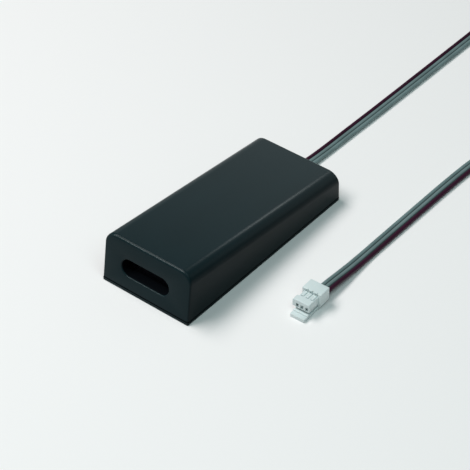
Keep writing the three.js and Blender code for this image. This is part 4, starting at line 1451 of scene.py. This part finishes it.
@dataclass
class Plug:
    """Small white crimp plug with a latch arm under it, in its own frame: wires enter at y = 0."""

    finishes: Finishes
    corner: tuple[float, float] = (47.3, -4.1)
    turn: float = 2.0
    pitch: float = 2.0
    half_width: float = 4.0
    block_depth: float = 5.5
    block_low: float = 1.8
    block_high: float = 7.2
    nose_half: float = 3.05
    nose_depth: float = 5.8
    nose_low: float = 2.5
    nose_high: float = 6.1
    arm: float = 1.4
    overhang: float = 2.9
    cavity_width: float = 1.4
    cavity_height: float = 2.2
    entry_height: float = 2.95
    entry_radius: float = 0.92
    entry_depth: float = 1.8
    entry_share: float = 0.85
    guide_radius: float = 0.7
    lip: float = 0.8
    mouth_low: float = 2.85
    mouth_height: float = 1.7
    mouth_width: float = 1.2
    rib_width: float = 1.1
    rib_length: float = 2.7

    def circuits(self) -> list[float]:
        """Places of the three circuits across the plug."""
        return [-self.pitch, 0.0, self.pitch]

    def place(self) -> Matrix:
        """Where the plug lies, in millimetres."""
        return Matrix.Translation((*self.corner, 0)) @ Matrix.Rotation(math.radians(self.turn), 4, "Z")

    def make_housing(self) -> bpy.types.Object:
        """Makes the one-piece moulded housing."""
        nose_end = -self.block_depth - self.nose_depth
        wide, nose = self.half_width, self.nose_half
        block = Bench.soften(
            Bench.box((-wide, -self.block_depth, self.block_low), (wide, 0, self.block_high)), 0.22, 3
        )
        body = Bench.box((-nose, nose_end, self.nose_low), (nose, -self.block_depth / 2, self.nose_high))
        Bench.soften(body, 0.24, 3)
        arm = Bench.box((-nose, nose_end - self.overhang, 0), (nose, -self.block_depth + 4.6, self.arm))
        Bench.bevel(arm, lambda edge: upright(edge) and edge.verts[0].co.y < nose_end, 0.35, 4)
        Bench.bevel(
            arm,
            lambda edge: at(edge, 1, nose_end - self.overhang) and at(edge, 2, self.arm),
            0.15,
            3,
        )
        Bench.soften(arm, 0.12)
        catch = Bench.box((-nose, nose_end - 1.0, self.arm / 2), (nose, nose_end + 0.05, self.arm + 0.5))
        Bench.bevel(
            catch, lambda edge: at(edge, 2, self.arm + 0.5) and at(edge, 1, nose_end - 1.0), 0.45, 2
        )
        web = Bench.box(
            (-nose, -self.block_depth, self.arm / 2), (nose, -self.block_depth + 1.7, self.block_low + 0.5)
        )
        tongues, tools = [], []
        middle = (self.nose_low + self.nose_high) / 2
        for x in self.circuits():
            half = self.cavity_width / 2
            low, high = middle - self.cavity_height / 2, middle + self.cavity_height / 2
            cavity = Bench.box((x - half, nose_end + self.lip, low), (x + half, -1.5, high))
            tools.append(Bench.bevel(cavity, lambda edge: at(edge, 1, -1.5), 0.3, 2))
            low, high = self.mouth_low, self.mouth_low + self.mouth_height
            half = self.mouth_width / 2
            tools.append(
                Bench.box((x - half, nose_end - 1, low), (x + half, nose_end + self.lip + 0.2, high))
            )
            entry = x * self.entry_share
            outer = (entry, 0.5, self.entry_height)
            inner = (entry, -self.entry_depth, self.entry_height)
            tools.append(Bench.rod(self.entry_radius, outer, inner, sides=32))
            guide = (x * 0.9, -1.0, self.entry_height)
            tools.append(Bench.rod(self.guide_radius, guide, (x, -3.2, middle), sides=24))
            window = Bench.box(
                (x - 0.6, -self.block_depth - 3.0, self.nose_high - 0.55),
                (x + 0.72, -self.block_depth + 0.3, self.nose_high + 1),
            )
            tools.append(
                Bench.bevel(
                    window,
                    lambda edge: upright(edge) and edge.verts[0].co.y < -self.block_depth - 1,
                    0.5,
                    5,
                )
            )
            tools.append(
                Bench.box(
                    (x + 0.22, -self.block_depth - 0.5, self.nose_high - 0.3),
                    (x + 0.60, -self.block_depth + 0.5, self.block_high + 1),
                )
            )
            tongue = Bench.box(
                (x - 0.65, -self.block_depth - 2.55, self.nose_high - 0.9),
                (x + 0.34, -self.block_depth + 0.2, self.nose_high - 0.04),
            )
            tongues.append(Bench.soften(tongue, 0.12))
        rib_side, rib_top = -nose - self.rib_width, self.nose_high - 0.1
        rib = Bench.box(
            (rib_side, nose_end, self.nose_low + 0.25),
            (-nose + 0.5, nose_end + self.rib_length, rib_top),
        )
        Bench.bevel(rib, lambda edge: at(edge, 0, rib_side) and at(edge, 2, rib_top), 0.8, 6)
        Bench.soften(rib, 0.18, 3)
        housing = Bench.join(block, body, rib, arm, catch, web)
        Bench.cut(housing, *tools)
        Bench.join(housing, *tongues)
        return Bench.hand_over(
            housing, "plug", "base", "plug", self.finishes.nylon, ["plug_housing"], self.place(), 30
        )

    def make_terminal(self, number: int, x: float) -> bpy.types.Object:
        """Makes one crimped contact: a folded box with a spring, a neck and a wire barrel.

        Args:
            number: Its number, from 1.
            x: Its place across the plug.

        Returns:
            The contact.
        """
        middle = (self.nose_low + self.nose_high) / 2
        front = -self.block_depth - self.nose_depth + self.lip + 0.2
        rear = -self.block_depth
        box = Bench.box((x - 0.4, front, middle - 0.8), (x + 0.4, rear, middle + 0.8))
        mouth = Bench.box((x - 0.25, front - 1, middle - 0.62), (x + 0.25, rear - 1, middle + 0.62))
        slit = Bench.box((x - 0.04, front - 1, middle + 0.5), (x + 0.04, rear + 1, middle + 1))
        spring = Bench.slice(
            Bench.box((x - 0.2, front + 0.3, middle - 0.65), (x + 0.2, rear - 1.2, middle - 0.15)),
            (x, front + 0.3, middle - 0.6),
            (0, -0.35, 1),
        )
        neck = Bench.rod(0.34, (x, rear - 0.5, middle), (x, -0.8, middle), sides=24)
        lance = Bench.box((x - 0.25, rear - 1.9, middle + 0.7), (x + 0.25, rear - 1.0, middle + 1.0))
        Bench.cut(box, mouth, slit)
        Bench.join(box, spring, neck, lance)
        Bench.soften(box, 0.05)
        node = f"crimp_terminal_{number}"
        return Bench.hand_over(
            box, f"contact_{number}", "base", "terminal", self.finishes.tin, [node], self.place()
        )

    def build(self) -> list[bpy.types.Object]:
        """Makes the housing and its contacts and gives them."""
        contacts = [self.make_terminal(number + 1, x) for number, x in enumerate(self.circuits())]
        return [self.make_housing(), *contacts]


# ----------------------------------------------------------------------- board


@dataclass
class Board:
    """Circuit board, the lamps in their holder and what stands on the board."""

    finishes: Finishes
    lamp_radius: float = 2.5
    lamp_flange: float = 2.9
    lamp_length: float = 7.6
    leg: float = 0.5
    leg_pitch: float = 2.54
    wire: float = 1.7

    def dress(
        self, node: str, slot: str, material: bpy.types.Material, width: float, turn: float = 40.0
    ) -> bpy.types.Object:
        """Makes a piece from a CAD node's merged mesh with its sharp edges broken.

        Args:
            node: The CAD node.
            slot: A material slot's name.
            material: The material.
            width: The rounding of its edges, in millimetres.
            turn: The least angle in degrees that counts as sharp.

        Returns:
            The piece.
        """
        piece = Bench.soften(Bench.cad_copy(node), width, 2, turn)
        return Bench.hand_over(piece, f"{node}_body", "base", slot, material, [node])

    def make_lamp(self, node: str, slot: str, material: bpy.types.Material) -> None:
        """Makes a round lamp with a domed lens, a flange with one flat, and two bent legs.

        Args:
            node: The CAD node that it stands for.
            slot: A material slot's name.
            material: The lens's material.
        """
        low, high = (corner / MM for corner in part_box(node))
        x = (low.x + high.x) / 2
        height = high.z - self.lamp_flange
        tip = low.y
        flange = tip + self.lamp_length
        lens = Bench.rod(self.lamp_radius, (x, flange + 0.2, height), (x, tip, height), sides=48)
        Bench.bevel(lens, lambda edge: at(edge, 1, tip), self.lamp_radius * 0.985, 12)
        ring = Bench.rod(self.lamp_flange, (x, flange, height), (x, flange + 1.0, height), sides=48)
        Bench.soften(Bench.slice(ring, (x + self.lamp_flange * 0.88, 0, 0), (1, 0, 0)), 0.12)
        piece = Bench.join(lens, ring)
        half = self.leg / 2
        bend = high.y - half
        for side in (-1, 1):
            middle = x + side * self.leg_pitch / 2
            near, far = middle - half, middle + half
            flat = Bench.box((near, flange + 0.5, height - half), (far, bend + half, height + half))
            down = Bench.box((near, bend - half, low.z), (far, bend + half, height + half))
            corner = Bench.join(flat, down)
            Bench.bevel(
                corner,
                lambda edge: at(edge, 1, bend + half) and at(edge, 2, height + half),
                0.4,
                4,
            )
            Bench.join(piece, corner)
        Bench.hand_over(piece, f"{node}_lamp", "base", slot, material, [node])

    def make_screw(self, node: str) -> None:
        """Makes a pan-head screw with a cross recess and a threaded shank.

        Args:
            node: The CAD node that it stands for.
        """
        low, high = (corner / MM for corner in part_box(node))
        x, y = (low.x + high.x) / 2, (low.y + high.y) / 2
        seat = high.z - 1.4
        head = Bench.rod(2.1, (x, y, seat), (x, y, high.z))
        Bench.bevel(head, lambda edge: at(edge, 2, high.z), 0.85, 6)
        recess = []
        for wide, deep in ((1.3, 0.24), (0.24, 1.3)):
            arm = Bench.box((x - wide, y - deep, high.z - 0.75), (x + wide, y + deep, high.z + 1))
            recess.append(arm)
        Bench.cut(head, Bench.join(*recess))
        shank = Bench.rod(0.82, (x, y, seat + 0.1), (x, y, low.z + 0.5), sides=24)
        point = Bench.rod(0.82, (x, y, low.z + 0.52), (x, y, low.z), 0.35, 24)
        Bench.join(head, shank, point)
        threads = int((seat - low.z - 1.0) / 0.45)
        ridges = []
        for index in range(threads):
            foot = low.z + 0.8 + index * 0.45
            ridges.append(Bench.rod(0.8, (x, y, foot), (x, y, foot + 0.14), 1.0, 24))
            ridges.append(Bench.rod(1.0, (x, y, foot + 0.139), (x, y, foot + 0.28), 0.8, 24))
        Bench.join(head, *ridges)
        Bench.hand_over(head, f"{node}_body", "base", "screw", self.finishes.zinc, [node])

    def make_can(self) -> None:
        """Makes the can capacitor with its crimped neck, vent score and moulded foot."""
        low, high = (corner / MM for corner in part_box("bulk_capacitor"))
        x, y = (low.x + high.x) / 2, (low.y + high.y) / 2
        radius = 3.15
        can = Bench.rod(radius, (x, y, low.z + 0.6), (x, y, high.z), sides=56)
        Bench.bevel(can, lambda edge: at(edge, 2, high.z), 0.45, 5)
        bpy.ops.object.select_all(action="DESELECT")
        bpy.ops.mesh.primitive_torus_add(
            location=(x, y, low.z + 1.9), major_radius=radius + 0.1, minor_radius=0.33, major_segments=56
        )
        groove = Bench._start()
        scores = [
            Bench.box((x - 1.9, y - 0.06, high.z - 0.07), (x + 1.9, y + 0.06, high.z + 1)),
            Bench.box((x - 0.06, y - 1.9, high.z - 0.07), (x + 0.06, y + 1.9, high.z + 1)),
        ]
        Bench.cut(can, groove, *scores)
        Bench.hand_over(can, "capacitor_can", "base", "can", self.finishes.can, ["bulk_capacitor"])
        foot = Bench.box((low.x, low.y, low.z), (high.x, high.y, low.z + 1.0))
        Bench.bevel(foot, lambda edge: upright(edge) and edge.verts[0].co.y < y, 0.9, 1)
        Bench.cut(foot, Bench.rod(radius + 0.03, (x, y, low.z + 0.55), (x, y, low.z + 2), sides=56))
        Bench.soften(foot, 0.08)
        Bench.hand_over(foot, "capacitor_foot", "base", "chip", self.finishes.chip)

    def make_joint(self, node: str) -> None:
        """Makes a solder joint: a smooth cone with a rounded tip.

        Args:
            node: The CAD node that it stands for.
        """
        low, high = (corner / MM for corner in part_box(node))
        x, y = (low.x + high.x) / 2, (low.y + high.y) / 2
        levels = ((1.1, 0.0), (0.98, 0.22), (0.74, 0.5), (0.54, 0.85), (0.42, 1.2), (0.2, 1.4))
        joint = None
        for (wide, foot), (narrow, head) in zip(levels, levels[1:]):
            ring = Bench.rod(wide, (x, y, low.z + foot), (x, y, low.z + head), narrow, 32)
            joint = ring if joint is None else Bench.join(joint, ring)
        Bench.hand_over(joint, f"{node}_cone", "base", "solder", self.finishes.solder, [node], smooth=60)

    def make_wire(self, name: str, order: int, material: bpy.types.Material, slot: str) -> None:
        """Makes one wire from the clamp up to its pad, with its bared end in the solder.

        Args:
            name: The wire's name.
            order: -1, 0 or 1, from the left.
            material: Its vinyl.
            slot: A material slot's name.
        """
        clamp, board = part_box("cable_clamp")[0] / MM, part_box("circuit_board")[1] / MM
        joint_low, joint_high = (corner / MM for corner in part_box(f"solder_joint_{name}"))
        pad_x, pad_y = (joint_low.x + joint_high.x) / 2, (joint_low.y + joint_high.y) / 2
        start_x = -2.15 + order * (self.wire + 0.02)
        rise = board.z + 1.2
        points = [
            Vector((start_x, clamp.y - 0.5, 1.9)),
            Vector((start_x + (pad_x - start_x) * 0.1, clamp.y - 3, 2.3)),
            Vector(((start_x + pad_x) / 2, (clamp.y + board.y) / 2, (1.9 + rise) / 2)),
            Vector((pad_x, board.y + 1.6, rise - 0.1)),
            Vector((pad_x, pad_y + 1.4, rise)),
        ]
        places = along_curve(points, 0.5)
        radius = self.wire / 2
        ring = [(radius * math.cos(a), radius * math.sin(a)) for a in (math.tau * i / 24 for i in range(24))]
        tube = sweep(places, [0.0] * len(places), ring, self.wire)
        Bench.hand_over(tube, f"core_wire_{name}", "base", slot, material, [f"inner_wire_{name}"], smooth=50)
        core = Bench.rod(0.38, (pad_x, pad_y + 1.6, rise), (pad_x, pad_y, rise - 0.35), sides=16)
        Bench.bevel(core, lambda edge: edge.verts[0].co.y < pad_y + 0.5, 0.1, 2)
        Bench.hand_over(core, f"bared_end_{name}", "base", "solder", self.finishes.solder)

    def build(self) -> None:
        """Makes everything between the plate and the cover."""
        looks = self.finishes
        self.dress("circuit_board", "board", looks.board, 0.08)
        self.dress("optic_holder", "matt_black", looks.holder, 0.15, 50)
        self.dress("cable_clamp", "matt_black", looks.clamp, 0.25, 50)
        for node in ("microcontroller", "output_transistor", "voltage_regulator", "protection_diode"):
            self.dress(node, "chip", looks.chip, 0.08)
        for number in (1, 2, 3):
            self.dress(f"ceramic_capacitor_{number}", "ceramic", looks.ceramic, 0.06)
        for number in (1, 2, 3, 4):
            self.dress(f"resistor_{number}", "resistor", looks.glaze, 0.05)
        self.make_lamp("ir_emitter", "clear_lens", looks.emitter)
        self.make_lamp("ir_receiver", "dark_lens", looks.receiver)
        for node in ("board_screw_1", "board_screw_2", "clamp_screw_1", "clamp_screw_2"):
            self.make_screw(node)
        self.make_can()
        wires = (
            ("red", looks.red_wire, "red_wire"),
            ("grey_inner", looks.grey_wire, "grey_wire"),
            ("grey_outer", looks.grey_wire, "grey_wire"),
        )
        for index, (name, material, slot) in enumerate(wires):
            self.make_joint(f"solder_joint_{name}")
            self.make_wire(name, index - 1, material, slot)


# ---------------------------------------------------------------------- studio


@dataclass
class Studio:
    """Pale floor, soft lights and the camera, in metres."""

    azimuth: float = 38.766
    elevation: float = 40.537
    distance: float = 0.68274
    aim_right: float = 0.004026
    aim_up: float = 0.001163
    lens: float = 141.06
    sensor: float = 36.0
    sky: float = 0.105
    sky_colour: Colour = (0.75, 1.0, 1.0)

    def axes(self) -> tuple[Vector, Vector, Vector]:
        """The camera's right, up and backward directions."""
        turn, rise = math.radians(self.azimuth), math.radians(self.elevation)
        right = Vector((math.cos(turn), math.sin(turn), 0))
        back = Vector((math.sin(turn) * math.cos(rise), -math.cos(turn) * math.cos(rise), math.sin(rise)))
        return right, back.cross(right), back

    def make_camera(self) -> None:
        """Makes the camera."""
        right, up, back = self.axes()
        data = bpy.data.cameras.new("camera")
        data.lens = self.lens
        data.sensor_width = self.sensor
        data.clip_start, data.clip_end = 0.01, 20.0
        camera = bpy.data.objects.new("camera", data)
        turned = Matrix((right, up, back)).transposed().to_4x4()
        spot = back * self.distance + right * self.aim_right + up * self.aim_up
        camera.matrix_world = Matrix.Translation(spot) @ turned
        bpy.context.scene.collection.objects.link(camera)
        bpy.context.scene.camera = camera

    def lamp(
        self,
        name: str,
        direction: Point,
        reach: float,
        size: tuple[float, float],
        power: float,
        colour: Colour,
        roll: float = 0.0,
    ) -> bpy.types.Object:
        """Makes one soft panel that faces the object.

        Args:
            name: Its name.
            direction: Where it stands, as a direction from the object.
            reach: How far away it stands.
            size: Its width and its height.
            power: Its power in watts.
            colour: Its colour.
            roll: How far it is turned in its own plane, in degrees.

        Returns:
            The light.
        """
        data = bpy.data.lights.new(name, "AREA")
        data.shape = "RECTANGLE"
        data.energy, data.color = power, colour
        data.size, data.size_y = size
        light = bpy.data.objects.new(name, data)
        away = Vector(direction).normalized()
        light.location = away * reach + Vector((0.01, 0.0, 0.0))
        light.rotation_mode = "QUATERNION"
        rolled = Quaternion((0, 0, 1), math.radians(roll))
        light.rotation_quaternion = away.to_track_quat("Z", "Y") @ rolled
        bpy.context.scene.collection.objects.link(light)
        return light

    def build(self, floor: bpy.types.Material) -> None:
        """Makes the floor, the sky and the lights.

        Args:
            floor: The floor's material.
        """
        bpy.ops.object.select_all(action="DESELECT")
        bpy.ops.mesh.primitive_plane_add(size=8.0, location=(0, 0, 0))
        ground = bpy.context.object
        ground.name = "studio_floor"
        ground.data.materials.append(floor)
        world = bpy.data.worlds.new("studio_sky")
        world.use_nodes = True
        sky = world.node_tree.nodes["Background"]
        sky.inputs["Color"].default_value = (*self.sky_colour, 1.0)
        sky.inputs["Strength"].default_value = self.sky
        bpy.context.scene.world = world
        self.lamp("key", (-0.44, -0.20, 0.87), 1.1, (0.90, 0.42), 9.65, (0.985, 0.975, 0.975))
        self.lamp("fill", (0.38, -0.28, 0.88), 1.2, (0.8, 0.8), 4.6, (0.76, 1.0, 1.0))
        # The rear panel and the two strips light the case only, and leave the floor and the lead as they are.
        case = bpy.data.collections.new("lit_by_strips")
        for name in ("cover_shell", "plate"):
            case.objects.link(bpy.data.objects[name])
        strips = (
            self.lamp("rear_panel", (-0.05, 0.80, 0.42), 1.3, (3.4, 1.0), 12.6, (0.92, 1.0, 1.0)),
            self.lamp("edge_strip", (-0.476, -0.55, 0.69), 1.1, (1.30, 0.15), 20.0, (0.85, 1.0, 1.0), 59.0),
            self.lamp("shoulder_strip", (-0.12, 0.73, 0.66), 1.3, (0.20, 0.35), 3.6, (0.92, 1.0, 1.0)),
        )
        for strip in strips:
            strip.light_linking.receiver_collection = case
        bpy.context.scene.view_settings.view_transform = "Standard"


# ------------------------------------------------------------------------ main


def main() -> None:
    """Builds the studio and every piece of the object in order."""
    logging.basicConfig(level=logging.INFO, format="%(name)s: %(message)s")
    finishes = Finishes()
    studio = Studio()
    studio.make_camera()
    plug = Plug(finishes).build()
    strap = CoilTie(finishes).build()
    Lead(finishes).build([*plug, strap])
    Housing(finishes).build()
    Board(finishes).build()
    studio.build(finishes.floor)


if __name__ == "__main__":
    main()
